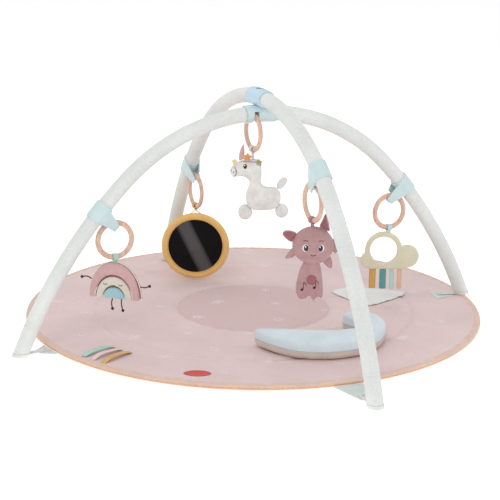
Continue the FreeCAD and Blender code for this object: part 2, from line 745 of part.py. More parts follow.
def creature_parts():
    x, z, rx, rz = CREATURE_HEAD
    head = ellipsoid(V(x, 0, z), rx, CREATURE_HEAD_HALF, rz)
    body = pad(CREATURE_BODY, -CREATURE_BODY_HALF, CREATURE_BODY_HALF).cut(head)
    body = max(body.Solids, key=lambda piece: piece.Volume)
    ears = group([max(pad(points, -5, 3).cut(head).cut(body).Solids, key=lambda p: p.Volume)
                  for points in CREATURE_EARS])
    case = box(-SOUND_BOX[0], SOUND_BOX[0], -8, 8, SOUND_Z - SOUND_BOX[1], SOUND_Z + SOUND_BOX[1])
    well_r = BUTTON_R + BODY_GAP
    well_low = -8.0 + BUTTON_T - 0.5
    well = Part.makeCylinder(well_r, well_low + 40, V(0, -40, SOUND_Z), Y_AXIS)
    button_front = -CREATURE_BODY_HALF - 0.5
    button = Part.makeCylinder(BUTTON_R, well_low - BUTTON_TRAVEL - BODY_GAP - button_front,
                               V(0, button_front, SOUND_Z), Y_AXIS)
    return {
        "creature_head": head,
        "creature_body": body.cut(case).cut(well),
        "creature_ears": ears,
        "creature_sound_box": case.cut(well),
        "creature_button": button,
    }


# ---------------------------------------------------------------- everything
def build():
    nodes = {
        "mat_base_cover": mat_base_cover(),
        "mat_padding": mat_padding(),
        "mat_top_cover": mat_top_cover(),
        "mat_edge_binding": mat_edge_binding(),
        "mat_tabs": mat_tabs(),
        "mat_ribbons": mat_ribbons(),
        "mat_label": mat_label(),
        "mat_flap": mat_flap(),
        "pillow_cover": pillow_cover(),
        "pillow_filling": pillow_filling(),
        "crown_hub_lower": crown_hub_lower(),
        "crown_hub_upper": crown_hub_upper(),
        "crown_ring_pin": crown_ring_pin(),
        "pivot_bolt": pivot_bolt(),
        "pivot_nut": pivot_nut(),
    }
    for arch in (ARCH_A, ARCH_B):
        nodes[arch.name + "_rods"] = arch_rods(arch)
        nodes[arch.name + "_foam"] = arch_foam(arch)
        nodes[arch.name + "_sleeve"] = arch_sleeve(arch)
        nodes[arch.name + "_foot_caps"] = arch_caps(arch)
        nodes[arch.name + "_foot_straps"] = arch_straps(arch)
    for name in SLIDERS:
        nodes["slider_" + name] = toy_slider(name)
    for name in TOY_TURN:
        nodes["ring_" + name] = hanging_ring(name)
    tails = {"rainbow": 7.0, "cloud": 7.0, "creature": 10.0, "mirror": 5.0, "llama": 14.0}
    for name, tail in tails.items():
        nodes[name + "_loop"] = toy_loop(name, tail)
    toys = {
        "rainbow": rainbow_parts(),
        "cloud": {"cloud_plate": cloud_plate(), "cloud_ribbons": cloud_ribbons()},
        "mirror": mirror_parts(),
        "llama": llama_parts(),
        "creature": creature_parts(),
    }
    for name, parts in toys.items():
        for node, shape in parts.items():
            nodes[node] = toy(name, shape)
    return nodes


def main():
    os.makedirs("parts", exist_ok=True)
    for node, shape in build().items():
        shape.exportStep("parts/" + node + ".step")


main()
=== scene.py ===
"""Looks of a padded activity play gym: fabric, plush, ribbons and plastic round its fixed frame."""
import math
import random

import bmesh
import bpy
from bpy.props import FloatProperty, FloatVectorProperty, IntProperty, PointerProperty
from mathutils import Matrix, Vector, noise
from mathutils.bvhtree import BVHTree


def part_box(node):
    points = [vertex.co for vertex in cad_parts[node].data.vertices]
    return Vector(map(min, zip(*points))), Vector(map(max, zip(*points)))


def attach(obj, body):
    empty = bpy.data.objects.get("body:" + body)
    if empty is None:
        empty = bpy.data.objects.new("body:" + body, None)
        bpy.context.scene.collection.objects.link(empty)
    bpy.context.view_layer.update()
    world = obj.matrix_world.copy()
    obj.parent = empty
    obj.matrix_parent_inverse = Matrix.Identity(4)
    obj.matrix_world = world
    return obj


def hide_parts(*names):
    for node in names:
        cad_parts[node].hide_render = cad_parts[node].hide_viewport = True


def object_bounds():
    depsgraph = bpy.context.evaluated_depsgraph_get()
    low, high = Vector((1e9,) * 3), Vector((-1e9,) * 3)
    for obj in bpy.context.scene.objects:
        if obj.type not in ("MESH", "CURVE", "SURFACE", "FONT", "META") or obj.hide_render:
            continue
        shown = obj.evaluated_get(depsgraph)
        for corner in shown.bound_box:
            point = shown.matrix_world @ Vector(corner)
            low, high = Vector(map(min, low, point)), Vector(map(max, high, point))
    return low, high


bl_info = {
    "name": "Activity Play Gym",
    "version": (1, 0, 0),
    "blender": (4, 5, 0),
    "location": "View3D > Sidebar > Play Gym",
    "description": "Builds the quilted mat, sleeves, pillow and hanging toys of a play gym",
    "category": "Object",
}

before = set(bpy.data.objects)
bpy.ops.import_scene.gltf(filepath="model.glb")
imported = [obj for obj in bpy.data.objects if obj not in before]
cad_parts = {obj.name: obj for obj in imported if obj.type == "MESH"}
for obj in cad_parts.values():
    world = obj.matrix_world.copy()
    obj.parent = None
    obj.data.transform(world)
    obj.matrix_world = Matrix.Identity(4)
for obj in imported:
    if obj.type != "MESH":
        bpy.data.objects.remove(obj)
CAD_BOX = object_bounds()
MM = 0.001

# ---- Arches: the arcs that the sleeves follow, mm ----
CROWN_HEIGHTS = {"arch_a": 461.0, "arch_b": 494.5}
CROWN_ARC_R = 422.0
CROWN_ARC_DEG = 44.8
FOOT_Z = 15.0
FOOT_R = 517.0
SLEEVE_R = 16.0
HUB_HALF = 34.0
CAP_T = 6.0

# ---- Toys: how far each one is turned about the upright, degrees ----
TOY_TURN = {"rainbow": -42.0, "cloud": -24.7, "creature": -24.7, "mirror": -24.7, "llama": -24.7}
RING_SECTION = 5.5

# ---- Mat ----
rim_low, rim_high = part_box("mat_edge_binding")
MAT_CENTRE = Vector(((rim_low.x + rim_high.x) / 2, (rim_low.y + rim_high.y) / 2, 0.0))
MAT_R = (rim_high.x - rim_low.x) / 2
MAT_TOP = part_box("mat_top_cover")[1].z
RIM_TOP = rim_high.z
BINDING_LIP = 14 * MM
SEAM_SHARES = (0.345, 0.70)
FOLD_LINES = ((0.35, 0.02), (1.93, -0.38), (1.90, 0.42))

# ---- Cloth under air pressure ----
SIMULATED_FRAMES = 20


# ---------------------------------------------------------------- settings
def linear(code):
    """The linear RGBA of an sRGB hex colour."""
    parts = [int(code[i:i + 2], 16) / 255 for i in (0, 2, 4)]
    return [p / 12.92 if p <= 0.04045 else ((p + 0.055) / 1.055) ** 2.4 for p in parts] + [1.0]


def colour(code, name, description):
    return FloatVectorProperty(name=name, description=description, subtype="COLOR", size=4,
                               min=0, max=1, default=linear(code))


class GymColours(bpy.types.PropertyGroup):
    mat: colour("EBD3D1", "Mat", "Dusty pink of the mat's top")
    mat_centre: colour("DFC2C1", "Mat centre", "Deeper pink of the middle circle")
    sleeve: colour("E9ECE9", "Arch sleeves", "Off-white of the arch covers")
    plastic: colour("CFE4E6", "Plastic", "Pale aqua of the hubs and sliders")
    ring: colour("E6BFA9", "Rings", "Warm tan of the hanging rings")
    pillow: colour("E0EEF4", "Pillow", "Pale blue of the crescent pillow")
    llama: colour("EFEDE9", "Grey plush", "Light grey of the animal toy")
    creature: colour("BE9697", "Mauve plush", "Dusty mauve of the winged toy")


class GymSizes(bpy.types.PropertyGroup):
    quilt_depth: FloatProperty(name="Quilting depth", description="How deep the sewn circles pull in",
                               default=3.6 * MM, unit="LENGTH")
    wrinkle: FloatProperty(name="Wrinkles", description="Height of the gathers beside the seams",
                           default=1.1 * MM, unit="LENGTH")
    sleeve_wrinkle: FloatProperty(name="Sleeve wrinkles", description="Depth of the sleeves' creases",
                                  default=0.8 * MM, unit="LENGTH")
    stitch: FloatProperty(name="Stitch", description="Length of one visible stitch",
                          default=5.0 * MM, unit="LENGTH")
    print_count: IntProperty(name="Prints", description="How many small printed motifs the mat has",
                             default=46, min=0)


def colours():
    return bpy.context.scene.gym_colours


def sizes():
    return bpy.context.scene.gym_sizes


def rgba_of(source):
    """A colour given by the name of a setting or by an sRGB hex code."""
    return getattr(colours(), source) if hasattr(colours(), source) else linear(source)


# ---------------------------------------------------------------- node helper and pattern scales
def add_node(tree, kind, inputs=None, **settings):
    """Adds a node, sets its properties and fills its sockets with values or links."""
    made = tree.nodes.new(kind)
    for key, value in settings.items():
        setattr(made, key, value)
    for key, value in (inputs or {}).items():
        if isinstance(value, bpy.types.NodeSocket):
            tree.links.new(value, made.inputs[key])
        else:
            made.inputs[key].default_value = value
    return made


def bands(period_mm):
    """Wave texture scale whose bands repeat every period_mm."""
    return math.pi / (10 * period_mm * MM)


def grain(size_mm):
    """Noise texture scale whose blotches are about size_mm across."""
    return 1 / (size_mm * MM)


def ramp(tree, factor, stops):
    node = add_node(tree, "ShaderNodeValToRGB", {"Fac": factor})
    marks = node.color_ramp.elements
    while len(marks) < len(stops):
        marks.new(0.5)
    for mark, (place, value) in zip(marks, stops):
        mark.position = place
        mark.color = value
    return node.outputs["Color"]


def shade(rgba, share):
    return [min(1.0, c * share) for c in rgba[:3]] + [1.0]


def start_material(name):
    material = bpy.data.materials.new(name)
    material.use_nodes = True
    tree = material.node_tree
    tree.nodes.clear()
    place = add_node(tree, "ShaderNodeTexCoord").outputs["Object"]
    return material, tree, place


def end_material(tree, colour_socket, height=None, distance=0.3, strength=0.5, **shader):
    inputs = {"Base Color": colour_socket}
    inputs.update({key.replace("_", " "): value for key, value in shader.items()})
    if height is not None:
        bump = add_node(tree, "ShaderNodeBump", {"Height": height, "Strength": strength,
                                                 "Distance": distance * MM})
        inputs["Normal"] = bump.outputs["Normal"]
    surface = add_node(tree, "ShaderNodeBsdfPrincipled", inputs)
    add_node(tree, "ShaderNodeOutputMaterial", {"Surface": surface.outputs["BSDF"]})


def woven(name, rgba, thread_mm=2.2, blotch_mm=60, roughness=0.85, sheen=0.25, relief=0.35,
          centre=None):
    """Woven or knitted cloth: crossed threads, drawn coarse enough to show, over slow colour drift."""
    material, tree, place = start_material(name)
    warp = add_node(tree, "ShaderNodeTexWave", {"Vector": place, "Scale": bands(thread_mm),
                    "Distortion": 0.6, "Detail": 1.0}, bands_direction="DIAGONAL")
    weft = add_node(tree, "ShaderNodeTexWave", {"Vector": place, "Scale": bands(thread_mm),
                    "Distortion": 0.6, "Detail": 1.0}, bands_direction="Z")
    weave = add_node(tree, "ShaderNodeMath", {0: warp.outputs["Fac"], 1: weft.outputs["Fac"]},
                     operation="MULTIPLY")
    fuzz = add_node(tree, "ShaderNodeTexNoise", {"Vector": place, "Scale": grain(thread_mm * 1.7),
                    "Detail": 3.0})
    drift = add_node(tree, "ShaderNodeTexNoise", {"Vector": place, "Scale": grain(blotch_mm),
                     "Detail": 4.0})
    base = ramp(tree, drift.outputs["Fac"], [(0.3, shade(rgba, 0.93)), (0.7, shade(rgba, 1.04))])
    if centre is not None:
        base = deeper_centre(tree, place, base, centre)
    flecks = ramp(tree, fuzz.outputs["Fac"], [(0.35, (0.86, 0.86, 0.86, 1)), (0.65, (1, 1, 1, 1))])
    mixed = mix_colours(tree, 0.45, base, flecks, "MULTIPLY")
    height = add_node(tree, "ShaderNodeMath", {0: weave.outputs[0], 1: fuzz.outputs["Fac"]},
                      operation="ADD")
    end_material(tree, mixed, height.outputs[0], 0.35, relief, Roughness=roughness,
                 Sheen_Weight=sheen, Sheen_Roughness=0.5, Specular_IOR_Level=0.25)
    return material


def mix_colours(tree, factor, first, second, blend="MIX"):
    node = add_node(tree, "ShaderNodeMix", data_type="RGBA", blend_type=blend)
    for index, value in ((0, factor), (6, first), (7, second)):
        if isinstance(value, bpy.types.NodeSocket):
            tree.links.new(value, node.inputs[index])
        else:
            node.inputs[index].default_value = value
    return node.outputs[2]


def deeper_centre(tree, place, outer, centre):
    """The sewn middle circle of the mat is a shade deeper than the rest."""
    moved = add_node(tree, "ShaderNodeVectorMath", {0: place, 1: MAT_CENTRE}, operation="SUBTRACT")
    flat = add_node(tree, "ShaderNodeVectorMath", {0: moved.outputs[0], 1: (1, 1, 0)},
                    operation="MULTIPLY")
    away = add_node(tree, "ShaderNodeVectorMath", {0: flat.outputs[0]}, operation="LENGTH")
    share = add_node(tree, "ShaderNodeMapRange", {"Value": away.outputs["Value"],
                     "From Min": MAT_R * (SEAM_SHARES[0] - 0.01), "From Max": MAT_R * SEAM_SHARES[0]})
    return mix_colours(tree, share.outputs["Result"], list(rgba_of(centre)), outer)


def plush(name, rgba):
    """Short-pile velboa: a soft nap with a pale bloom at grazing angles."""
    material, tree, place = start_material(name)
    pile = add_node(tree, "ShaderNodeTexNoise", {"Vector": place, "Scale": grain(1.6), "Detail": 5.0})
    lie = add_node(tree, "ShaderNodeTexNoise", {"Vector": place, "Scale": grain(16), "Detail": 2.0})
    base = ramp(tree, lie.outputs["Fac"], [(0.3, shade(rgba, 0.9)), (0.7, shade(rgba, 1.06))])
    tips = ramp(tree, pile.outputs["Fac"], [(0.3, (0.8, 0.8, 0.8, 1)), (0.6, (1, 1, 1, 1))])
    end_material(tree, mix_colours(tree, 0.5, base, tips, "MULTIPLY"), pile.outputs["Fac"], 0.9, 0.6,
                 Roughness=0.95, Sheen_Weight=0.6, Sheen_Roughness=0.4, Specular_IOR_Level=0.15)
    return material


def satin(name, rgba):
    """Polyester satin ribbon: fine lengthwise threads and a soft gloss."""
    material, tree, place = start_material(name)
    lines = add_node(tree, "ShaderNodeTexWave", {"Vector": place, "Scale": bands(1.4),
                     "Distortion": 0.4}, bands_direction="DIAGONAL")
    base = ramp(tree, lines.outputs["Fac"], [(0.0, shade(rgba, 0.93)), (1.0, shade(rgba, 1.05))])
    end_material(tree, base, lines.outputs["Fac"], 0.1, 0.25, Roughness=0.38,
                 Sheen_Weight=0.2, Specular_IOR_Level=0.5)
    return material


def moulded(name, rgba, roughness=0.38, orange_peel=0.12):
    """Injection-moulded plastic: a satin skin with faint flow marks."""
    material, tree, place = start_material(name)
    skin = add_node(tree, "ShaderNodeTexNoise", {"Vector": place, "Scale": grain(1.2), "Detail": 2.0})
    flow = add_node(tree, "ShaderNodeTexNoise", {"Vector": place, "Scale": grain(22), "Detail": 2.0})
    base = ramp(tree, flow.outputs["Fac"], [(0.3, shade(rgba, 0.96)), (0.7, shade(rgba, 1.03))])
    end_material(tree, base, skin.outputs["Fac"], 0.12, orange_peel, Roughness=roughness,
                 IOR=1.5, Coat_Weight=0.15, Coat_Roughness=0.25)
    return material


def streaked(name, rgba):
    """Wood-filled plastic: long warm streaks under a satin skin."""
    material, tree, place = start_material(name)
    drawn = add_node(tree, "ShaderNodeMapping", {"Vector": place, "Scale": (1.0, 1.0, 0.25)})
    streak = add_node(tree, "ShaderNodeTexNoise", {"Vector": drawn.outputs[0], "Scale": grain(5),
                      "Detail": 6.0, "Distortion": 0.8})
    base = ramp(tree, streak.outputs["Fac"], [(0.35, shade(rgba, 0.8)), (0.65, shade(rgba, 1.06))])
    end_material(tree, base, streak.outputs["Fac"], 0.1, 0.2, Roughness=0.42, IOR=1.5,
                 Coat_Weight=0.1, Coat_Roughness=0.3)
    return material


def mirror_with_painted_reflection(name, rgba):
    """Silvered acrylic with a painted reflection: glossy, near-black for the dim room it reflects, with
    one soft slanting pale band.
    """
    material, tree, place = start_material(name)
    turned = add_node(tree, "ShaderNodeMapping", {"Vector": place, "Rotation": (0, math.radians(24), 0)})
    # Painted reflection: a soft slanting pale band fixed in the glass, standing in for a reflected light
    # stripe.
    glow = add_node(tree, "ShaderNodeTexWave", {"Vector": turned.outputs[0], "Scale": bands(150),
                    "Phase Offset": 1.9}, bands_direction="X")
    # Painted reflection: near-black for the reflected dim room, rising to the pale band's grey.
    base = ramp(tree, glow.outputs["Fac"], [(0.86, linear("17191A")), (0.97, rgba)])
    end_material(tree, base, Roughness=0.06, Metallic=0.85)
    return material


def steel(name, rgba):
    """Zinc-plated steel: bright, finely brushed."""
    material, tree, place = start_material(name)
    brushed = add_node(tree, "ShaderNodeTexNoise", {"Vector": place, "Scale": grain(0.8), "Detail": 4.0})
    base = ramp(tree, brushed.outputs["Fac"], [(0.3, linear("9A9C9E")), (0.7, rgba)])
    end_material(tree, base, brushed.outputs["Fac"], 0.05, 0.2, Roughness=0.3, Metallic=1.0)
    return material


def glowing(name, rgba, glow):
    """A backdrop that stays white under soft light."""
    material, tree, _ = start_material(name)
    end_material(tree, rgba, Roughness=0.9, Emission_Color=(1, 1, 1, 1), Emission_Strength=glow)
    return material


# Each row: how it is made, its colour (a setting or an sRGB code), then that maker's own numbers.
# Cloth takes thread mm, blotch mm, roughness, sheen and relief; plastic takes roughness and skin relief.
FINISHES = {
    "mat_polycotton": (woven, "mat", 2.4, 130, 0.85, 0.25, 0.3, "mat_centre"),
    "base_canvas": (woven, "D5C9C2", 3.0),
    "peach_binding": (woven, "EACBB9", 1.8),
    "tan_binding": (woven, "DDB090", 1.8),
    "sleeve_jersey": (woven, "sleeve", 2.6, 90, 0.85, 0.3, 0.25),
    "white_cotton": (woven, "F4F4F2", 1.8),
    "aqua_webbing": (woven, "DCE8E6", 2.0, 60, 0.85, 0.25, 0.7),
    "white_webbing": (woven, "E9E8E3", 2.0, 60, 0.85, 0.25, 0.7),
    "red_patch": (woven, "DC4232", 1.6, 60, 0.7),
    "pink_thread": (woven, "D9B4B3", 0.9, 60, 0.6),
    "white_ink": (woven, "FAF3F1", 1.8, 60, 0.85, 0.25, 0.1),
    "pillow_velour": (woven, "pillow", 1.8, 50, 0.85, 0.6),
    "beige_jersey": (woven, "DDD1C6", 1.8, 40),
    "blue_piping": (woven, "BFD6DE", 1.2),
    "dusty_pink": (woven, "D6AEAD", 1.6),
    # On the rainbow's rear this dark mauve is painted shade; on the winged toy's seam and loop it is a
    # plain dark mauve.
    "mauve_side": (woven, "B48789", 1.6),
    "cream": (woven, "E2DACB", 1.6),
    "blue_core": (woven, "A5CDD4", 1.6),
    # This off-white also draws the rainbow's painted rim highlight.
    "piping": (woven, "F1E9E2", 1.0),
    "dark_thread": (woven, "3E2A28", 0.8, 60, 0.6),
    "amber": (woven, "F5C87C", 1.7, 40, 0.85, 0.25, 0.5),
    "amber_board": (woven, "E0B060", 1.7, 40),
    "yellow_felt": (woven, "EFE0A8", 1.4),
    "orange_felt": (woven, "E8A25C", 1.4),
    "olive_felt": (woven, "A9A560", 1.4),
    "grey_plush": (plush, "llama"),
    "pink_plush": (plush, "E3B9B6"),
    "mauve_plush": (plush, "creature"),
    "rose_plush": (plush, "A66B73"),
    "lavender": (satin, "B9B2D8"),
    "mint_satin": (satin, "A9DCCB"),
    "pink_satin": (satin, "EFD2D3"),
    "mustard_satin": (satin, "DDAF5C"),
    "teal_satin": (satin, "5BA5A6"),
    "aqua_satin": (satin, "C3E4E3"),
    "peach_satin": (satin, "EDC6A9"),
    "aqua_plastic": (moulded, "plastic"),
    "blue_plastic": (moulded, "C6E0EE"),
    "white_plastic": (moulded, "E9E9E6", 0.45),
    "silicone": (moulded, "E4DFC4", 0.55, 0.2),
    "eye_brown": (moulded, "2E1D1A", 0.3),
    "eye_white": (moulded, "F6F2EE", 0.5),
    "ring_plastic": (streaked, "ring"),
    "zinc_plated_steel": (steel, "C9CBCC"),
    # Pale grey of the mirror's painted reflection band, over a near-black painted reflection.
    "silvered_acrylic": (mirror_with_painted_reflection, "5F6264"),
    "floor": (glowing, "FFFFFF", 0.42),
}
made_materials = {}


def finish_of(name):
    """Each finish is made once, the first time that a piece asks for it."""
    if name not in made_materials:
        maker, source, *numbers = FINISHES[name]
        made_materials[name] = maker(name, rgba_of(source), *numbers)
    return made_materials[name]


# ---------------------------------------------------------------- mesh helpers
def show(obj):
    bpy.context.scene.collection.objects.link(obj)
    return obj


def to_metres(bm):
    bmesh.ops.scale(bm, verts=bm.verts, vec=(MM, MM, MM))


def from_bmesh(name, bm, *finishes, smooth=True):
    bmesh.ops.recalc_face_normals(bm, faces=bm.faces)
    mesh = bpy.data.meshes.new(name)
    bm.to_mesh(mesh)
    bm.free()
    for finish in finishes:
        mesh.materials.append(finish_of(finish))
    mesh.shade_smooth() if smooth else mesh.shade_flat()
    return show(bpy.data.objects.new(name, mesh))


def settled(obj):
    """The object's mesh with its modifiers worked in."""
    graph = bpy.context.evaluated_depsgraph_get()
    return bpy.data.meshes.new_from_object(obj.evaluated_get(graph))


def apply_all(obj):
    mesh = settled(obj)
    obj.modifiers.clear()
    obj.data = mesh
    obj.data.shade_smooth()
    return obj


def subdivide(obj, levels=1):
    sub = obj.modifiers.new("Subdivision", "SUBSURF")
    sub.levels = levels
    sub.render_levels = levels
    return obj


def thicken(obj, thick_mm):
    """Gives a flat cloth its thickness, on the side away from its normals."""
    solid = obj.modifiers.new("Thickness", "SOLIDIFY")
    solid.thickness = thick_mm * MM
    return apply_all(obj)


def even_mesh(obj, voxel_mm):
    """Remeshes closed, overlapping forms as one skin."""
    remesh = obj.modifiers.new("One skin", "REMESH")
    remesh.mode = "VOXEL"
    remesh.voxel_size = voxel_mm * MM
    return apply_all(obj)


def threads(name, paths, radius_mm, finish, cyclic=False, roundness=2):
    """Round threads along paths of points in metres, as one mesh."""
    curve = bpy.data.curves.new(name, "CURVE")
    curve.dimensions = "3D"
    curve.bevel_depth = radius_mm * MM
    curve.bevel_resolution = roundness
    curve.use_fill_caps = True
    for path in paths:
        spline = curve.splines.new("POLY")
        spline.points.add(len(path) - 1)
        for point, place in zip(spline.points, path):
            point.co = (*place, 1)
        spline.use_cyclic_u = cyclic
    holder = bpy.data.objects.new(name, curve)
    mesh = bpy.data.meshes.new_from_object(holder)
    bpy.data.objects.remove(holder)
    mesh.materials.clear()
    mesh.materials.append(finish_of(finish))
    mesh.shade_smooth()
    return show(bpy.data.objects.new(name, mesh))


def dashes(path, length, gap):
    """Short two-point paths of one stitch each along a path."""
    found = []
    travelled = 0.0
    start = None
    for first, second in zip(path, path[1:]):
        step = (second - first).length
        if start is None:
            start = first
        travelled += step
        if travelled >= length:
            found.append([start, second])
            travelled = -gap
            start = None
        if travelled < 0:
            start = second
    return found


def curve_span(a, b, c, d, steps):
    """Points of a Catmull-Rom curve from b up to, but not at, c."""
    return [0.5 * (2 * b + (c - a) * t + (2 * a - 5 * b + 4 * c - d) * t * t
                   + (3 * b - a - 3 * c + d) * t ** 3) for t in (step / steps for step in range(steps))]


def smooth_loop(points, per_span=6):
    """A closed Catmull-Rom curve through 2-D points."""
    found = []
    count = len(points)
    for i in range(count):
        a, b, c, d = (Vector(points[(i + k) % count]) for k in (-1, 0, 1, 2))
        found += curve_span(a, b, c, d, per_span)
    return found


def smooth_path(points, per_span=8):
    """An open Catmull-Rom curve through points in any dimension."""
    ends = [points[0]] + list(points) + [points[-1]]
    found = []
    for i in range(1, len(ends) - 2):
        a, b, c, d = (Vector(ends[i + k]) for k in (-1, 0, 1, 2))
        found += curve_span(a, b, c, d, per_span)
    found.append(Vector(points[-1]))
    return found


def add_prism(bm, outline, start, depth, upright=True):
    """Adds an extruded outline: in the x-z plane when upright, else in the x-y plane."""
    if upright:
        verts = [bm.verts.new((x, start, z)) for x, z in outline]
        shift = Vector((0, depth, 0))
    else:
        verts = [bm.verts.new((x, y, start)) for x, y in outline]
        shift = Vector((0, 0, depth))
    face = bm.faces.new(verts)
    moved = bmesh.ops.extrude_face_region(bm, geom=[face])["geom"]
    bmesh.ops.translate(bm, verts=[v for v in moved if isinstance(v, bmesh.types.BMVert)], vec=shift)


def full_turn(bm, profile, axis, steps):
    """Spins a profile all the way round an axis through the origin."""
    bmesh.ops.spin(bm, geom=profile, cent=(0, 0, 0), axis=axis, dvec=(0, 0, 0), angle=2 * math.pi,
                   steps=steps, use_merge=True, use_duplicate=False)


def shrink(outline, amount):
    """An outline pulled in along its own normals."""
    found = []
    count = len(outline)
    area = sum(outline[i][0] * outline[(i + 1) % count][1] - outline[(i + 1) % count][0] * outline[i][1]
               for i in range(count))
    sign = 1 if area > 0 else -1
    for i in range(count):
        run = Vector(outline[(i + 1) % count]) - Vector(outline[i - 1])
        normal = Vector((-run.y, run.x)).normalized() * sign
        found.append(Vector(outline[i]) + normal * amount)
    return found


def swell(obj, voxel_mm, cap_mm, pressure=4.0):
    """Meshes a closed form evenly, then swells it as cloth under air pressure."""
    even_mesh(obj, voxel_mm)
    rest = [v.co.copy() for v in obj.data.vertices]
    cloth = obj.modifiers.new("Cloth", "CLOTH")
    cloth.settings.use_pressure = True
    cloth.settings.uniform_pressure_force = pressure
    cloth.settings.effector_weights.gravity = 0
    cloth.point_cache.frame_start = 1
    cloth.point_cache.frame_end = SIMULATED_FRAMES
    scene = bpy.context.scene
    for number in range(1, SIMULATED_FRAMES + 1):
        scene.frame_set(number)
    apply_all(obj)
    scene.frame_set(1)
    for vert, start in zip(obj.data.vertices, rest):
        moved = vert.co - start
        if moved.length > cap_mm * MM:
            vert.co = start + moved.normalized() * cap_mm * MM
    return obj


def relax(obj, rounds=3):
    bm = bmesh.new()
    bm.from_mesh(obj.data)
    for _ in range(rounds):
        bmesh.ops.smooth_vert(bm, verts=bm.verts, factor=0.5, use_axis_x=True, use_axis_y=True,
                              use_axis_z=True)
    bm.to_mesh(obj.data)
    bm.free()
    return obj


def stuffed(name, outlines, start_mm, depth_mm, finish, voxel=3.0, cap=4.0, inset=1.5):
    """A sewn, stuffed shape from one or more outlines in millimetres, standing in the x-z plane."""
    bm = bmesh.new()
    for outline in outlines:
        add_prism(bm, shrink(outline, inset), start_mm, depth_mm)
    bmesh.ops.recalc_face_normals(bm, faces=bm.faces)
    to_metres(bm)
    obj = from_bmesh(name, bm, finish)
    return relax(swell(obj, voxel, cap), 2)


def cut_loops(obj, point, normal):
    """The closed lines where a plane cuts the object's finished surface."""
    bm = bmesh.new()
    bm.from_mesh(settled(obj))
    geom = bm.verts[:] + bm.edges[:] + bm.faces[:]
    bmesh.ops.bisect_plane(bm, geom=geom, plane_co=point, plane_no=normal,
                           clear_inner=True, clear_outer=True)
    loops = []
    waiting = set(bm.verts)
    while waiting:
        here = next(iter(sorted(waiting, key=lambda v: v.index)))
        loop = [here]
        waiting.discard(here)
        while True:
            onward = [e.other_vert(loop[-1]) for e in loop[-1].link_edges]
            onward = [v for v in onward if v in waiting]
            if not onward:
                break
            loop.append(onward[0])
            waiting.discard(onward[0])
        if len(loop) > 8:
            loops.append([v.co.copy() for v in loop])
    bm.free()
    return loops


def surface_tree(*objs):
    bm = bmesh.new()
    for obj in objs:
        bm.from_mesh(settled(obj))
    tree = BVHTree.FromBMesh(bm)
    bm.free()
    return tree


def lay_on(tree, x, z, lift_mm=0.3):
    """The place in metres on the front of a toy at x and z millimetres."""
    hit = tree.ray_cast(Vector((x * MM, -0.2, z * MM)), Vector((0, 1, 0)))[0]
    if hit is None:
        hit = Vector((x * MM, 0, z * MM))
    return hit - Vector((0, lift_mm * MM, 0))


def embroider(name, tree, lines, radius_mm, finish):
    """Sewn lines that follow the toy's front."""
    return threads(name, [[lay_on(tree, x, z) for x, z in smooth_path(line)] for line in lines],
                   radius_mm, finish)


def fill_outline(bm, outline, cuts):
    """Adds a flat shape with an even net inside its outline; returns each vertex with its flat place."""
    count = len(outline)
    middle = sum((Vector(p) for p in outline), Vector((0, 0))) / count
    disc = bmesh.new()
    bmesh.ops.create_circle(disc, cap_ends=True, segments=count, radius=1)
    bmesh.ops.poke(disc, faces=disc.faces[:])
    bmesh.ops.subdivide_edges(disc, edges=disc.edges[:], cuts=cuts, use_grid_fill=True)
    places = []
    for vert in disc.verts:
        turn = math.atan2(vert.co.y, vert.co.x) / (2 * math.pi) * count % count
        low = int(turn) % count
        rim = Vector(outline[low]).lerp(Vector(outline[(low + 1) % count]), turn - int(turn))
        chord = math.cos(math.pi / count) / math.cos((turn - int(turn) - 0.5) * 2 * math.pi / count)
        reach = min(1.0, math.hypot(vert.co.x, vert.co.y) / chord)
        flat = middle + (rim - middle) * reach
        vert.co = (flat.x, flat.y, reach)
    mesh = bpy.data.meshes.new("patch")
    disc.to_mesh(mesh)
    disc.free()
    first = len(bm.verts)
    bm.from_mesh(mesh)
    bm.verts.ensure_lookup_table()
    for vert in bm.verts[first:]:
        places.append((vert, Vector((vert.co.x, vert.co.y)), vert.co.z))
    return places


def sewn_patch(name, tree, outlines, finish, lift_mm=0.4):
    """Flat sewn-on shapes, each given by a closed outline, that follow the toy's front."""
    bm = bmesh.new()
    for outline in outlines:
        for vert, flat, reach in fill_outline(bm, outline, 2):
            vert.co = lay_on(tree, flat.x, flat.y, lift_mm * (1.25 - 0.5 * reach))
    obj = from_bmesh(name, bm, finish)
    return thicken(obj, 0.5)


def oval(x, z, wide, tall, turn=0.0, count=24):
    found = []
    for i in range(count):
        angle = 2 * math.pi * i / count
        u, v = wide * math.cos(angle), tall * math.sin(angle)
        c, s = math.cos(math.radians(turn)), math.sin(math.radians(turn))
        found.append((x + u * c - v * s, z + u * s + v * c))
    return found


def arc_line(x, z, wide, tall, start, end, count=7):
    """Points of a small arc, angles in degrees."""
    angles = [math.radians(start + (end - start) * i / (count - 1)) for i in range(count)]
    return [(x + wide * math.cos(a), z + tall * math.sin(a)) for a in angles]


def hang_point(toy):
    """The lowest point of the toy's ring, which the toy hangs from."""
    low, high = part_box("ring_" + toy)
    middle = (low + high) / 2
    return Vector((middle.x, middle.y, low.z + RING_SECTION * MM))


def hang(obj, toy, body=None):
    """Turns and moves a toy's piece from its own frame to its place under the ring."""
    apply_all(obj)
    place = Matrix.Translation(hang_point(toy)) @ Matrix.Rotation(math.radians(TOY_TURN[toy]), 4, "Z")
    obj.data.transform(place)
    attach(obj, body or toy)
    return obj


def dress(finish, *nodes):
    """Gives CAD nodes their finish."""
    for node in nodes:
        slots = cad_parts[node].data.materials
        slots.clear()
        slots.append(finish_of(finish))


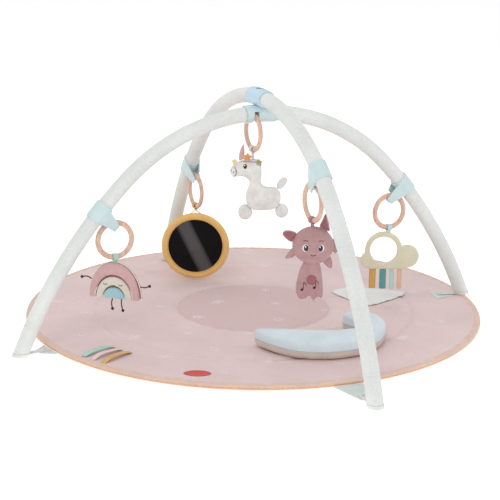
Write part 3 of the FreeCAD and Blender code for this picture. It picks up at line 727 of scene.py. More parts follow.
# ---------------------------------------------------------------- mat
def quilt_height(x, y):
    """Height of the quilted top at a point measured from the mat's middle."""
    radius = math.hypot(x, y)
    angle = math.atan2(y, x)
    height = MAT_TOP + 0.4 * MM * noise.noise(Vector((x * 14, y * 14, 3.0)))
    for number, share in enumerate(SEAM_SHARES):
        away = abs(radius - share * MAT_R)
        gathers = 26 + 22 * number
        ripple = math.sin(angle * gathers + 4 * noise.noise(Vector((x * 9, y * 9, number))))
        ripple *= 0.5 + noise.noise(Vector((x * 7, y * 7, 8.0 + number)))
        height -= sizes().quilt_depth * math.exp(-(away / (5.0 * MM)) ** 2)
        height += sizes().wrinkle * ripple * math.exp(-(away / (30 * MM)) ** 2)
    edge = MAT_R - BINDING_LIP - radius
    ripple = math.sin(angle * 60 + 5 * noise.noise(Vector((x * 6, y * 6, 5.0))))
    height += 0.6 * sizes().wrinkle * ripple * math.exp(-(edge / (26 * MM)) ** 2)
    for turn, offset in FOLD_LINES:
        across = x * math.cos(turn) + y * math.sin(turn) - offset * MAT_R
        height += 1.1 * MM * math.exp(-(across / (7 * MM)) ** 2)
    return min(height, MAT_TOP + 2.6 * MM)


def on_mat(x, y, lift_mm=0.0):
    """A place on the quilted top, from the mat's middle."""
    return Vector((MAT_CENTRE.x + x, MAT_CENTRE.y + y, quilt_height(x, y) + lift_mm * MM))


def quilt():
    """The padded top: a flat underside and a spun profile that the seams pull in."""
    outer = MAT_R - 4 * MM
    count = 96
    bm = bmesh.new()
    centre = bm.verts.new((0, 0, MAT_TOP))
    rail = [centre] + [bm.verts.new((outer * (i + 1) / count, 0, MAT_TOP)) for i in range(count)]
    rail.append(bm.verts.new((outer, 0, 1.2 * MM)))
    rail.append(bm.verts.new((0, 0, 1.2 * MM)))
    edges = [bm.edges.new(pair) for pair in zip(rail, rail[1:])]
    full_turn(bm, rail + edges, (0, 0, 1), 360)
    bmesh.ops.remove_doubles(bm, verts=bm.verts, dist=1e-6)
    for vert in bm.verts:
        if vert.co.z > 2 * MM:
            vert.co.z = quilt_height(vert.co.x, vert.co.y)
        vert.co += MAT_CENTRE
    obj = from_bmesh("mat_quilt", bm, "mat_polycotton")
    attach(obj, "mat")
    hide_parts("mat_top_cover", "mat_padding")


def circle_path(radius, lift_mm, count):
    angles = [2 * math.pi * i / count for i in range(count + 1)]
    return [on_mat(radius * math.cos(a), radius * math.sin(a), lift_mm) for a in angles]


def mat_stitches():
    paths = []
    for share in SEAM_SHARES:
        count = int(2 * math.pi * share * MAT_R / (1.0 * MM))
        paths += dashes(circle_path(share * MAT_R, 0.3, count), sizes().stitch, 0.45 * sizes().stitch)
    obj = threads("mat_stitching", paths, 0.45, "pink_thread", roundness=0)
    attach(obj, "mat")


def binding():
    """The rolled edge tape, peach above and tan round the side and underneath."""
    inner = MAT_R - BINDING_LIP
    middle = RIM_TOP / 2
    bm = bmesh.new()
    profile = [(inner, RIM_TOP - 1.2 * MM), (inner + 1.0 * MM, RIM_TOP)]
    for step in range(13):
        angle = math.radians(90 - 15 * step)
        profile.append((MAT_R - middle + middle * math.cos(angle), middle + middle * math.sin(angle)))
    profile += [(inner + 1.0 * MM, 0.0), (inner, 0.8 * MM)]
    verts = [bm.verts.new((r, 0, z)) for r, z in profile]
    edges = [bm.edges.new(pair) for pair in zip(verts, verts[1:] + verts[:1])]
    full_turn(bm, verts + edges, (0, 0, 1), 480)
    for vert in bm.verts:
        angle = math.atan2(vert.co.y, vert.co.x)
        drift = noise.noise(Vector((math.cos(angle) * 5, math.sin(angle) * 5, 0)))
        ripple = math.sin(angle * 150 + 6 * drift)
        share = 0.35 * MM * ripple * (1 if vert.co.z > middle else 0)
        vert.co.z = max(0.0, vert.co.z + share - 0.4 * MM * (vert.co.z > middle))
        vert.co += MAT_CENTRE
    obj = from_bmesh("mat_binding", bm, "peach_binding", "tan_binding")
    for face in obj.data.polygons:
        face.material_index = 1 if face.center.z < 0.55 * RIM_TOP else 0
    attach(obj, "mat")
    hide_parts("mat_edge_binding")


def star(x, y, size, turn):
    lines = []
    for i in range(3):
        a = turn + math.pi * i / 3
        lines.append([(x - size * math.cos(a), y - size * math.sin(a)),
                      (x + size * math.cos(a), y + size * math.sin(a))])
    return lines


def sprig(x, y, size, turn):
    """A stem with two pairs of leaves."""
    c, s = math.cos(turn), math.sin(turn)

    def at(u, v):
        return (x + size * (u * c - v * s), y + size * (u * s + v * c))

    lines = [[at(-1.3, 0), at(-0.4, 0.12), at(0.5, 0), at(1.2, -0.15)]]
    for u in (-0.6, 0.3):
        for side in (-1, 1):
            lines.append([at(u, 0), at(u + 0.35, side * 0.5), at(u + 0.8, side * 0.5),
                          at(u + 0.4, side * 0.1)])
    return lines


def hoop(x, y, size, turn):
    ring = oval(x, y, size * 0.7, size * 0.5, math.degrees(turn), 12)
    return [ring + ring[:1]]


def mat_prints():
    """Small white line motifs, spread evenly by the golden angle."""
    picker = random.Random(7)
    lines = []
    for i in range(sizes().print_count):
        radius = 0.9 * MAT_R * math.sqrt((i + 0.7) / sizes().print_count)
        angle = i * math.radians(137.508)
        motif = (star, sprig, hoop)[i % 3]
        size = picker.uniform(11, 17) * MM
        lines += motif(radius * math.cos(angle), radius * math.sin(angle), size, picker.uniform(0, 6.28))
    paths = [[on_mat(x, y, -0.25) for x, y in smooth_path(line)] for line in lines]
    obj = threads("mat_prints", paths, 0.6, "white_ink", roundness=1)
    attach(obj, "mat")


LABEL_HALF = (27, 15)
LABEL_TURN = -24.7


def mat_label():
    """A plain woven patch with a sewn border; it carries no text."""
    low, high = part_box("mat_label")
    middle = (low + high) / 2 - MAT_CENTRE
    outline = oval(0, 0, *LABEL_HALF, LABEL_TURN, 40)
    bm = bmesh.new()
    add_prism(bm, [(x * MM, y * MM) for x, y in outline], 0, 0.8 * MM, upright=False)
    for vert in bm.verts:
        top = vert.co.z
        vert.co = on_mat(middle.x + vert.co.x, middle.y + vert.co.y, 0.2)
        vert.co.z = max(vert.co.z, MAT_TOP) + top
    patch = from_bmesh("label_patch", bm, "red_patch", smooth=False)
    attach(patch, "mat")
    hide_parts("mat_label")
    border = [Vector((MAT_CENTRE.x + middle.x + 0.9 * x * MM, MAT_CENTRE.y + middle.y + 0.9 * y * MM,
                      MAT_TOP + 1.8 * MM)) for x, y in oval(0, 0, *LABEL_HALF, LABEL_TURN, 120)]
    edging = threads("label_stitching", dashes(border, 2.4 * MM, 1.0 * MM), 0.35, "pink_thread",
                     roundness=0)
    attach(edging, "mat")


FLAP_OUTLINE = ((182, 108), (240, 26), (268, 14), (342, 92), (330, 128), (215, 142))
FLAP_TURN = -24.7


def flap():
    """A loose crinkle flap of white cotton lying on the mat."""
    outline = smooth_loop(FLAP_OUTLINE, 10)
    bm = bmesh.new()
    spin = Matrix.Rotation(math.radians(FLAP_TURN), 2)
    for vert, place, _ in fill_outline(bm, outline, 9):
        flat = spin @ place * MM
        crinkle = abs(noise.noise(Vector((flat.x * 38, flat.y * 38, 1.0))))
        vert.co = on_mat(flat.x, flat.y, 1.2 + 4.5 * crinkle)
        vert.co.z = max(vert.co.z, MAT_TOP + 1.0 * MM)
    obj = from_bmesh("crinkle_flap", bm, "white_cotton")
    thicken(obj, 0.8)
    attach(obj, "mat")
    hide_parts("mat_flap")


def ribbon_strip(points, width_mm, finish, name, across):
    """A flat ribbon along a path of points, as wide as width_mm along the across direction."""
    bm = bmesh.new()
    side = Vector(across).normalized() * (width_mm * MM / 2)
    rail = [bm.verts.new(p - side) for p in points]
    edges = [bm.edges.new(pair) for pair in zip(rail, rail[1:])]
    made = bmesh.ops.extrude_edge_only(bm, edges=edges)["geom"]
    bmesh.ops.translate(bm, verts=[g for g in made if isinstance(g, bmesh.types.BMVert)], vec=side * 2)
    obj = from_bmesh(name, bm, finish)
    return subdivide(thicken(obj, 0.6))


RIBBON_ANGLES = (-158.9, -155.8, -152.3)
RIBBON_FINISHES = ("mint_satin", "pink_satin", "mustard_satin")
RIBBON_LENGTH = 82.0
RIBBON_WIDTH = 15.0


def mat_ribbons():
    """Three satin loops sewn at both ends, arching a little over the mat."""
    for number, (angle, finish) in enumerate(zip(RIBBON_ANGLES, RIBBON_FINISHES)):
        turn = math.radians(angle)
        out = Vector((math.cos(turn), math.sin(turn), 0))
        across = Vector((-out.y, out.x, 0))
        start = MAT_R - BINDING_LIP - 1 * MM - RIBBON_LENGTH * MM
        points = []
        for step in range(25):
            share = step / 24
            place = out * (start + share * RIBBON_LENGTH * MM)
            rise = 1.2 + 7.5 * math.sin(math.pi * share) ** 0.8 + 0.8 * math.sin(9 * share + number)
            points.append(MAT_CENTRE + place + Vector((0, 0, MAT_TOP + rise * MM)))
        obj = ribbon_strip(points, RIBBON_WIDTH, finish, f"mat_ribbon_{number + 1}", across)
        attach(obj, "mat")
        if number == 0:
            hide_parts("mat_ribbons")


class GYM_OT_mat(bpy.types.Operator):
    """Makes the quilted mat, its edge tape, prints, patch, flap and ribbons"""
    bl_idname = "gym.make_mat"
    bl_label = "Mat"

    def execute(self, context):
        quilt()
        mat_stitches()
        binding()
        mat_prints()
        mat_label()
        flap()
        mat_ribbons()
        dress("base_canvas", "mat_base_cover")
        dress("aqua_webbing", "mat_tabs")
        return {"FINISHED"}


# ---------------------------------------------------------------- pillow
PILLOW_TURN = -24.7
PILLOW_H = 46.0
PILLOW_OUTLINE = (
    (-12, -268), (32, -332), (100, -366), (170, -360), (230, -326), (272, -266), (286, -200),
    (270, -150), (232, -128), (194, -142), (190, -166), (212, -196), (216, -232), (188, -260),
    (130, -276), (60, -272),
)


class GYM_OT_pillow(bpy.types.Operator):
    """Makes the crescent pillow, swollen as cloth, with its side panel and piping"""
    bl_idname = "gym.make_pillow"
    bl_label = "Pillow"

    def execute(self, context):
        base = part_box("pillow_cover")[0].z
        bm = bmesh.new()
        outline = shrink(smooth_loop(PILLOW_OUTLINE), 6)
        add_prism(bm, outline, 4, PILLOW_H - 12, upright=False)
        to_metres(bm)
        turn = Matrix.Rotation(math.radians(PILLOW_TURN), 4, "Z")
        bmesh.ops.transform(bm, verts=bm.verts, matrix=Matrix.Translation(MAT_CENTRE) @ turn)
        bmesh.ops.translate(bm, verts=bm.verts, vec=(0, 0, base))
        obj = from_bmesh("pillow", bm, "pillow_velour", "beige_jersey")
        relax(swell(obj, 5.0, 9.0), 3)
        for vert in obj.data.vertices:
            vert.co.z = max(vert.co.z, base)
        apply_all(subdivide(obj))
        seam = base + 0.42 * PILLOW_H * MM
        for face in obj.data.polygons:
            face.material_index = 1 if face.center.z < seam else 0
        for number, loop in enumerate(cut_loops(obj, (0, 0, seam), (0, 0, 1))):
            cord = threads(f"pillow_piping_{number + 1}", [loop], 0.9, "blue_piping", cyclic=True)
            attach(cord, "pillow")
        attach(obj, "pillow")
        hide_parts("pillow_cover", "pillow_filling")
        return {"FINISHED"}


# ---------------------------------------------------------------- arches
class ArchLine:
    """The two arcs that half of an arch follows, in the arch's own plane, mm."""

    def __init__(self, crown_z, heading):
        self.heading = math.radians(heading)
        self.crown_centre = crown_z - CROWN_ARC_R
        self.bend = math.radians(CROWN_ARC_DEG)
        run = FOOT_R - CROWN_ARC_R * math.sin(self.bend)
        drop = FOOT_Z - self.crown_centre - CROWN_ARC_R * math.cos(self.bend)
        along = run * math.sin(self.bend) + drop * math.cos(self.bend)
        self.leg_r = -(run * run + drop * drop) / (2 * along)
        self.leg_x = (CROWN_ARC_R - self.leg_r) * math.sin(self.bend)
        self.leg_z = self.crown_centre + (CROWN_ARC_R - self.leg_r) * math.cos(self.bend)
        self.foot = math.atan2(FOOT_R - self.leg_x, FOOT_Z - self.leg_z)

    def centre(self, angle, side):
        if angle < self.bend:
            x, z, r = 0.0, self.crown_centre, CROWN_ARC_R
        else:
            x, z, r = self.leg_x, self.leg_z, self.leg_r
        return Vector((side * (x + r * math.sin(angle)), 0, z + r * math.cos(angle)))

    def placed(self, place):
        return Matrix.Rotation(self.heading, 3, "Z") @ place * MM


def sleeve_half(bm, line, side, low):
    """One fabric sleeve: a circle spun down the crown arc and then down the leg arc."""
    start = HUB_HALF / CROWN_ARC_R
    end = line.foot + math.radians(4)
    ring = bmesh.ops.create_circle(bm, segments=32, radius=SLEEVE_R)["verts"]
    tilt = Matrix.Rotation(side * (math.pi / 2 + start), 3, "Y")
    for vert in ring:
        vert.co = tilt @ vert.co + line.centre(start, side)
    edges = list({e for v in ring for e in v.link_edges})
    for centre_x, centre_z, first, last, steps in (
            (0.0, line.crown_centre, start, line.bend, 70),
            (line.leg_x, line.leg_z, line.bend, end, 90)):
        spun = bmesh.ops.spin(bm, geom=ring + edges, cent=(side * centre_x, 0, centre_z), axis=(0, 1, 0),
                              dvec=(0, 0, 0), angle=side * (last - first), steps=steps,
                              use_merge=False, use_duplicate=False)
        ring = [g for g in spun["geom_last"] if isinstance(g, bmesh.types.BMVert)]
        edges = [g for g in spun["geom_last"] if isinstance(g, bmesh.types.BMEdge)]
    bmesh.ops.bisect_plane(bm, geom=bm.verts[:] + bm.edges[:] + bm.faces[:], plane_co=(0, 0, low),
                           plane_no=(0, 0, -1), clear_outer=True)


def crease(bm, line):
    """Presses soft creases into the sleeve, deepest beside the hub and the foot."""
    bmesh.ops.recalc_face_normals(bm, faces=bm.faces)
    bm.normal_update()
    for vert in bm.verts:
        place = vert.co * MM
        height = vert.co.z / (line.crown_centre + CROWN_ARC_R)
        near_end = math.exp(-(height / 0.09) ** 2) + math.exp(-((1 - height) / 0.03) ** 2)
        rough = noise.noise(Vector((place.x * 28, place.y * 60, place.z * 28)))
        fold = noise.noise(Vector((place.x * 90, place.y * 20, place.z * 90)))
        depth = sizes().sleeve_wrinkle * (0.35 * abs(rough) + near_end * abs(fold)) / MM
        vert.co -= vert.normal * depth


def sleeve(name, line, lows):
    bm = bmesh.new()
    for side, low in zip((-1, 1), lows):
        part = bmesh.new()
        sleeve_half(part, line, side, low + CAP_T)
        crease(part, line)
        bmesh.ops.holes_fill(part, edges=[e for e in part.edges if e.is_boundary])
        part.transform(Matrix.Rotation(line.heading, 4, "Z") @ Matrix.Scale(MM, 4))
        mesh = bpy.data.meshes.new("half")
        part.to_mesh(mesh)
        part.free()
        bm.from_mesh(mesh)
    obj = from_bmesh(name + "_cover", bm, "sleeve_jersey")
    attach(obj, name)
    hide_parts(name + "_sleeve", name + "_foam")
    return obj


def sleeve_seams(name, line):
    """The long seam under each sleeve and the two stitched lines round each cuff."""
    paths = []
    hoops = []
    for side in (-1, 1):
        angles = [HUB_HALF / CROWN_ARC_R + i * 0.004 for i in range(400)]
        angles = [a for a in angles if a < line.foot - 0.03]
        run = []
        for angle in angles:
            inward = Vector((-side * math.sin(angle), 0, -math.cos(angle)))
            run.append(line.placed(line.centre(angle, side) + inward * (SLEEVE_R - 0.1)))
        paths.append(run)
        for angle in (line.foot - 0.045, line.foot - 0.053):
            out = Vector((side * math.sin(angle), 0, math.cos(angle)))
            hoop_points = []
            for step in range(72):
                turn = 2 * math.pi * step / 72
                spoke = out * math.cos(turn) + Vector((0, 1, 0)) * math.sin(turn)
                hoop_points.append(line.placed(line.centre(angle, side) + spoke * (SLEEVE_R - 0.1)))
            hoops.append(hoop_points)
    seam = threads(name + "_seam", paths, 0.5, "white_webbing", roundness=1)
    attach(seam, name)
    cuff = threads(name + "_cuff_stitching", hoops, 0.45, "white_webbing", cyclic=True, roundness=1)
    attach(cuff, name)


class GYM_OT_arches(bpy.types.Operator):
    """Makes the creased fabric sleeves and their seams, and finishes the frame inside"""
    bl_idname = "gym.make_arches"
    bl_label = "Arches"

    def execute(self, context):
        for name, heading in (("arch_a", 0.0), ("arch_b", 90.0)):
            hub = "crown_hub_lower" if name == "arch_a" else "crown_hub_upper"
            line = ArchLine(CROWN_HEIGHTS[name], heading)
            sleeve(name, line, (0.0, RIM_TOP / MM + 0.3))
            sleeve_seams(name, line)
            dress("white_plastic", name + "_rods", name + "_foot_caps")
            dress("white_webbing", name + "_foot_straps")
            dress("aqua_plastic" if name == "arch_a" else "blue_plastic", hub)
        dress("zinc_plated_steel", "pivot_bolt", "pivot_nut")
        dress("aqua_plastic", "crown_ring_pin")
        return {"FINISHED"}


# ---------------------------------------------------------------- sliders and rings
class GYM_OT_hangers(bpy.types.Operator):
    """Finishes the sliders, the rings and the sewn loops"""
    bl_idname = "gym.finish_hangers"
    bl_label = "Sliders and rings"

    def execute(self, context):
        for toy in TOY_TURN:
            dress("ring_plastic", "ring_" + toy)
            if toy != "llama":
                dress("aqua_plastic", "slider_" + toy)
        for toy, finish in (("rainbow", "mint_satin"), ("cloud", "aqua_satin"),
                            ("creature", "mauve_side"), ("mirror", "amber_board"),
                            ("llama", "white_webbing")):
            dress(finish, toy + "_loop")
        return {"FINISHED"}


# ---------------------------------------------------------------- rainbow toy
RAINBOW_BASE = -87.0
RAINBOW_OUTER = (58.0, 76.5)
RAINBOW_MID = (42.0, 48.0)
RAINBOW_CORE = (25.0, 25.5)
RAINBOW_CORDS = (((-51, -52), (-62, -47), (-74, -49)), ((53, -58), (64, -59), (75, -55)),
                 ((-6, -87), (-9, -99), (-7, -111)), ((13, -87), (13, -100), (16, -113)))


def half_arc(width, height, count=30, start=0.0, end=180.0):
    angles = [math.radians(start + (end - start) * i / count) for i in range(count + 1)]
    return [Vector((width * math.cos(a), RAINBOW_BASE + height * math.sin(a))) for a in angles]


def rainbow_band(outer, inner):
    return half_arc(*outer) + half_arc(*inner)[::-1]


class GYM_OT_rainbow(bpy.types.Operator):
    """Makes the stuffed rainbow with its bands, piping, painted rim highlight and side shade, simple
    face and knotted cords
    """
    bl_idname = "gym.make_rainbow"
    bl_label = "Rainbow"

    def execute(self, context):
        pieces = (
            ("rainbow_outer", "rainbow_outer_band", "dusty_pink", "mauve_fabric", -11, 11,
             rainbow_band(RAINBOW_OUTER, RAINBOW_MID)),
            ("rainbow_middle", "rainbow_middle_band", "cream", "cream_fabric", -11, 11,
             rainbow_band(RAINBOW_MID, RAINBOW_CORE)),
            ("rainbow_inner", "rainbow_core", "blue_core", "blue_fabric", -11, 11,
             half_arc(*RAINBOW_CORE)),
            # The rear's darker mauve is painted shade on the side turned from the light.
            ("rainbow_rear", "rainbow_back", "mauve_side", "mauve_fabric", 0, 10,
             half_arc(*RAINBOW_OUTER)),
        )
        made = []
        for name, node, finish, slot, start, depth, outline in pieces:
            obj = stuffed(name, [outline], start, depth, finish, voxel=2.5, cap=2.5, inset=1.0)
            made.append(subdivide(obj))
            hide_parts(node)
        tree = surface_tree(*made[:3])
        edges = [[(p.x * 0.985, p.y) for p in half_arc(*size, start=4, end=176)]
                 for size in (RAINBOW_MID, RAINBOW_CORE)]
        # Painted highlight: an off-white cord round the outer rim stands in for the light line along the
        # rainbow's edge.
        rim = [[Vector((p.x * MM, -0.5 * MM, p.y * MM)) for p in half_arc(*RAINBOW_OUTER)]]
        piping = embroider("rainbow_piping", tree, edges, 1.1, "piping")
        edge = threads("rainbow_rim", rim, 1.2, "piping")
        face = embroider("rainbow_face", tree, [
            arc_line(-17, -53, 4.2, 3.2, 200, 340), arc_line(17, -53, 4.2, 3.2, 200, 340),
            arc_line(0, -54.5, 4.5, 3.6, 215, 325)], 0.6, "dark_thread")
        cords = threads("rainbow_strings", [[Vector((x * MM, 0, z * MM)) for x, z in smooth_path(path)]
                                            for path in RAINBOW_CORDS], 1.3, "dark_thread")
        knots = bmesh.new()
        for path in RAINBOW_CORDS:
            x, z = path[-1]
            ball = bmesh.ops.create_icosphere(knots, subdivisions=3, radius=3.0)["verts"]
            for vert in ball:
                vert.co *= 1 + 0.16 * math.sin(vert.co.x * 2.2 + vert.co.z * 2.6)
            bmesh.ops.translate(knots, verts=ball, vec=(x, 0, z))
        to_metres(knots)
        knotted = from_bmesh("rainbow_knots", knots, "dark_thread")
        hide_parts("rainbow_cords")
        for obj in made + [piping, edge, face, cords, knotted]:
            hang(obj, "rainbow")
        return {"FINISHED"}


# ---------------------------------------------------------------- cloud toy
CLOUD_T = 9.0
CLOUD_VOXEL = 1.2
CLOUD_HOLE_R = 30.0
CLOUD_CENTRE = (-9.0, -52.0)
CLOUD_LOBES = ((-9.0, -52.0, 41.5), (44.0, -66.0, 26.0), (-40.0, -76.0, 20.0))
CLOUD_FILL = (-40.0, 44.0, -96.0, -66.0)
CLOUD_RIBBONS = ((-32.0, 16.0, "mustard_satin"), (-9.0, 16.0, "teal_satin"),
                 (11.0, 11.0, "aqua_satin"), (28.0, 11.0, "peach_satin"))
CLOUD_RIBBON_L = 46.0


def add_drum(bm, x, z, radius, thick):
    """Adds a closed drum lying across y."""
    made = bmesh.ops.create_cone(bm, cap_ends=True, segments=96, radius1=radius, radius2=radius,
                                 depth=thick)["verts"]
    upright = Matrix.Rotation(math.pi / 2, 3, "X")
    bmesh.ops.rotate(bm, verts=made, cent=(0, 0, 0), matrix=upright)
    bmesh.ops.translate(bm, verts=made, vec=(x, 0, z))


class GYM_OT_cloud(bpy.types.Operator):
    """Makes the soft silicone cloud with its hole and four satin tags"""
    bl_idname = "gym.make_cloud"
    bl_label = "Cloud"

    def execute(self, context):
        bm = bmesh.new()
        for x, z, radius in CLOUD_LOBES:
            add_drum(bm, x, z, radius, CLOUD_T)
        left, right, low, high = CLOUD_FILL
        add_prism(bm, [(left, low), (right, low), (right, high), (left, high)], -CLOUD_T / 2, CLOUD_T)
        to_metres(bm)
        obj = from_bmesh("cloud_teether", bm, "silicone")
        even_mesh(obj, CLOUD_VOXEL)
        bm = bmesh.new()
        add_drum(bm, *CLOUD_CENTRE, CLOUD_HOLE_R, 40)
        to_metres(bm)
        cutter = from_bmesh("hole", bm, "silicone")
        cut = obj.modifiers.new("Hole", "BOOLEAN")
        cut.operation = "DIFFERENCE"
        cut.object = cutter
        apply_all(obj)
        bpy.data.objects.remove(cutter)
        even_mesh(obj, CLOUD_VOXEL)
        relax(obj, 9)
        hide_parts("cloud_plate")
        hang(obj, "cloud")
        for number, (x, width, finish) in enumerate(CLOUD_RIBBONS):
            points = []
            for step in range(21):
                share = step / 20
                wave = 3.0 * math.sin(3.1 * share + number) * share
                points.append(Vector((x, wave, CLOUD_FILL[2] + 2 - share * (CLOUD_RIBBON_L + 2))) * MM)
            tag = ribbon_strip(points, width, finish, f"cloud_tag_{number + 1}", (1, 0, 0))
            if number == 0:
                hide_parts("cloud_ribbons")
            hang(tag, "cloud")
        return {"FINISHED"}


# ---------------------------------------------------------------- mirror toy
MIRROR_R = 79.0
MIRROR_RIM = 16.0
MIRROR_DEPTH = 14.0
MIRROR_DROP = 94.0
MIRROR_AHEAD = 12.0


class GYM_OT_mirror(bpy.types.Operator):
    """Makes the mirror's padded fabric frame and its two straps"""
    bl_idname = "gym.make_mirror"
    bl_label = "Mirror"

    def execute(self, context):
        middle_r = MIRROR_R - MIRROR_RIM / 2
        bm = bmesh.new()
        ring = bmesh.ops.create_circle(bm, segments=28, radius=1)["verts"]
        for vert in ring:
            vert.co = Vector((middle_r + vert.co.x * MIRROR_RIM / 2, vert.co.y * MIRROR_DEPTH / 2, 0))
        edges = list({e for v in ring for e in v.link_edges})
        full_turn(bm, ring + edges, (0, 1, 0), 240)
        for vert in bm.verts:
            angle = math.atan2(vert.co.z, vert.co.x)
            gather = math.sin(angle * 54 + 3 * noise.noise(Vector((vert.co.x, 0, vert.co.z)) / 22))
            inward = 1 - (math.hypot(vert.co.x, vert.co.z) - middle_r) / (MIRROR_RIM / 2)
            vert.co.y *= 1 + 0.035 * gather * inward
        bmesh.ops.translate(bm, verts=bm.verts, vec=(0, -MIRROR_AHEAD, -MIRROR_DROP))
        to_metres(bm)
        frame_ring = from_bmesh("mirror_surround", bm, "amber")
        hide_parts("mirror_frame")
        seams = []
        for radius, depth in ((MIRROR_R - MIRROR_RIM + 2.2, -MIRROR_DEPTH / 2 + 2.0),
                              (MIRROR_R - 0.3, 0.0)):
            points = oval(0, -MIRROR_DROP, radius, radius, 0, 160)
            seams.append([Vector((x, -MIRROR_AHEAD + depth, z)) * MM for x, z in points])
        piping = threads("mirror_piping", seams, 0.7, "amber_board", cyclic=True)
        hang(piping, "mirror")
        hang(frame_ring, "mirror")
        back = -MIRROR_AHEAD + MIRROR_DEPTH / 2
        for number, side in enumerate((-1, 1)):
            points = [(side * 2, 0, -12.5), (side * 16, back * 0.2, -22), (side * 34, back * 0.5, -34),
                      (side * 50, back + 0.5, -44)]
            path = [p * MM for p in smooth_path(points)]
            strap = ribbon_strip(path, 9, "amber", f"mirror_strap_{number + 1}", (0, 1, 0.1))
            if number == 0:
                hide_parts("mirror_strap")
            hang(strap, "mirror")
        # The glass carries its reflection painted into its colour.
        dress("silvered_acrylic", "mirror_glass")
        dress("amber_board", "mirror_back")
        return {"FINISHED"}


# ---------------------------------------------------------------- llama toy
LLAMA_BODY = (
    (-52, -40), (-34, -24), (-6, -18), (16, -22), (22, -50), (26, -74), (54, -82), (64, -100),
    (56, -126), (28, -134), (-4, -130), (-18, -104), (-12, -72), (-24, -60), (-46, -58),
)
LLAMA_HALF = 17.0
LLAMA_LEGS = ((-15.0, -135.0, 15.0), (62.0, -131.0, 14.0))
LLAMA_EAR = ((-30, -24), (-28, -4), (-20, 12), (-17, -4), (-19, -21))
LLAMA_TAIL = ((50, -82), (54, -66), (66, -58), (74, -66), (62, -84))
LLAMA_FLOWERS = ((-38.0, -24.0, 6.0, "yellow_felt"), (-11.0, -14.0, 8.0, "orange_felt"),
                 (12.0, -26.0, 7.0, "olive_felt"))


def flower(name, tree, x, z, size, finish):
    """Five felt petals round a small raised middle."""
    bm = bmesh.new()
    centre = lay_on(tree, x, z, 0)
    depth = centre.y / MM if abs(centre.y) > 1e-6 else -LLAMA_HALF
    for number in range(5):
        angle = 2 * math.pi * number / 5 + 0.3
        petal = bmesh.ops.create_icosphere(bm, subdivisions=3, radius=1)["verts"]
        bmesh.ops.scale(bm, verts=petal, vec=(size * 0.52, 1.3, size * 0.42))
        bmesh.ops.rotate(bm, verts=petal, cent=(0, 0, 0), matrix=Matrix.Rotation(-angle, 3, "Y"))
        bmesh.ops.translate(bm, verts=petal, vec=(x + size * 0.55 * math.cos(angle), depth - 1.5,
                                                  z + size * 0.55 * math.sin(angle)))
    middle = bmesh.ops.create_icosphere(bm, subdivisions=3, radius=size * 0.28)["verts"]
    bmesh.ops.translate(bm, verts=middle, vec=(x, depth - 2.4, z))
    to_metres(bm)
    return from_bmesh(name, bm, finish)


class GYM_OT_llama(bpy.types.Operator):
    """Makes the grey plush animal with its ball feet, ear, tail, flowers and simple face"""
    bl_idname = "gym.make_llama"
    bl_label = "Grey animal"

    def execute(self, context):
        outline = smooth_loop(LLAMA_BODY)
        body = stuffed("llama_plush", [outline], -12, 24, "grey_plush", voxel=3.0, cap=5.0, inset=3)
        subdivide(body)
        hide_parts("llama_body")
        bm = bmesh.new()
        for x, z, radius in LLAMA_LEGS:
            ball = bmesh.ops.create_icosphere(bm, subdivisions=4, radius=radius)["verts"]
            bmesh.ops.scale(bm, verts=ball, vec=(1, 0.95, 1.1))
            bmesh.ops.translate(bm, verts=ball, vec=(x, 0, z))
        to_metres(bm)
        feet = from_bmesh("llama_feet", bm, "grey_plush")
        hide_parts("llama_legs")
        ear = stuffed("llama_ear_plush", [smooth_loop(LLAMA_EAR)], -3, 6, "pink_plush", 2.0, 1.5, 0.6)
        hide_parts("llama_ear")
        tail = stuffed("llama_tassel", [smooth_loop(LLAMA_TAIL)], -3, 6, "grey_plush", 2.0, 2.0, 0.6)
        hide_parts("llama_tail")
        tree = surface_tree(body)
        seam = threads("llama_seam", cut_loops(body, (0, 0, 0), (0, 1, 0)), 0.5, "piping", cyclic=True)
        snout = embroider("llama_snout", tree, [arc_line(-46, -46, 12, 13, -60, 50)], 0.5, "dark_thread")
        eye = sewn_patch("llama_eye", tree, [oval(-16, -34, 3.6, 4.8)], "eye_brown")
        glint = sewn_patch("llama_eye_glint", tree, [oval(-17, -32, 1.1, 1.3)], "eye_white", 1.0)
        brow = embroider("llama_brow", tree, [arc_line(-16, -30, 6, 5, 50, 130)], 0.5, "dark_thread")
        dots = sewn_patch("llama_snout_dots", tree, [oval(-45 + 5 * i, -44 - 3 * (i % 2), 1, 1, 0, 10)
                                                     for i in range(3)], "dark_thread")
        wreath = embroider("llama_wreath", tree, [[(-20, -20), (-8, -24), (6, -26), (18, -34)]],
                           1.6, "lavender")
        blooms = []
        for number, (x, z, size, finish) in enumerate(LLAMA_FLOWERS):
            bloom = flower(f"llama_flower_{number + 1}", tree, x, z, size, finish)
            blooms.append(bloom)
        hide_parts("llama_flowers")
        for obj in [body, feet, ear, tail, seam, snout, eye, glint, brow, dots, wreath] + blooms:
            hang(obj, "llama")
        return {"FINISHED"}


# ---------------------------------------------------------------- winged plush toy
CREATURE_HEAD = (2.0, -51.0, 41.0, 38.0)
CREATURE_HEAD_HALF = 24.0
CREATURE_BODY = (
    (-16, -84), (-27, -110), (-33, -140), (-27, -160), (-14, -163), (-2, -158), (8, -170),
    (15, -158), (27, -157), (24, -120), (16, -84), (0, -80),
)
CREATURE_FINS = (
    ((14, -14), (34, -22), (31, 0), (25, 14), (19, 2)),
    ((-38, -44), (-30, -26), (-50, -20), (-59, -28), (-50, -40)),
    ((-30, -64), (-38, -56), (-48, -68), (-53, -78), (-36, -76)),
    ((40, -36), (52, -46), (52, -64), (44, -66), (38, -60)),
    ((20, -80), (34, -70), (42, -86), (39, -98), (28, -92)),
)
BUTTON_R = 11.0
BUTTON_Z = -118.0


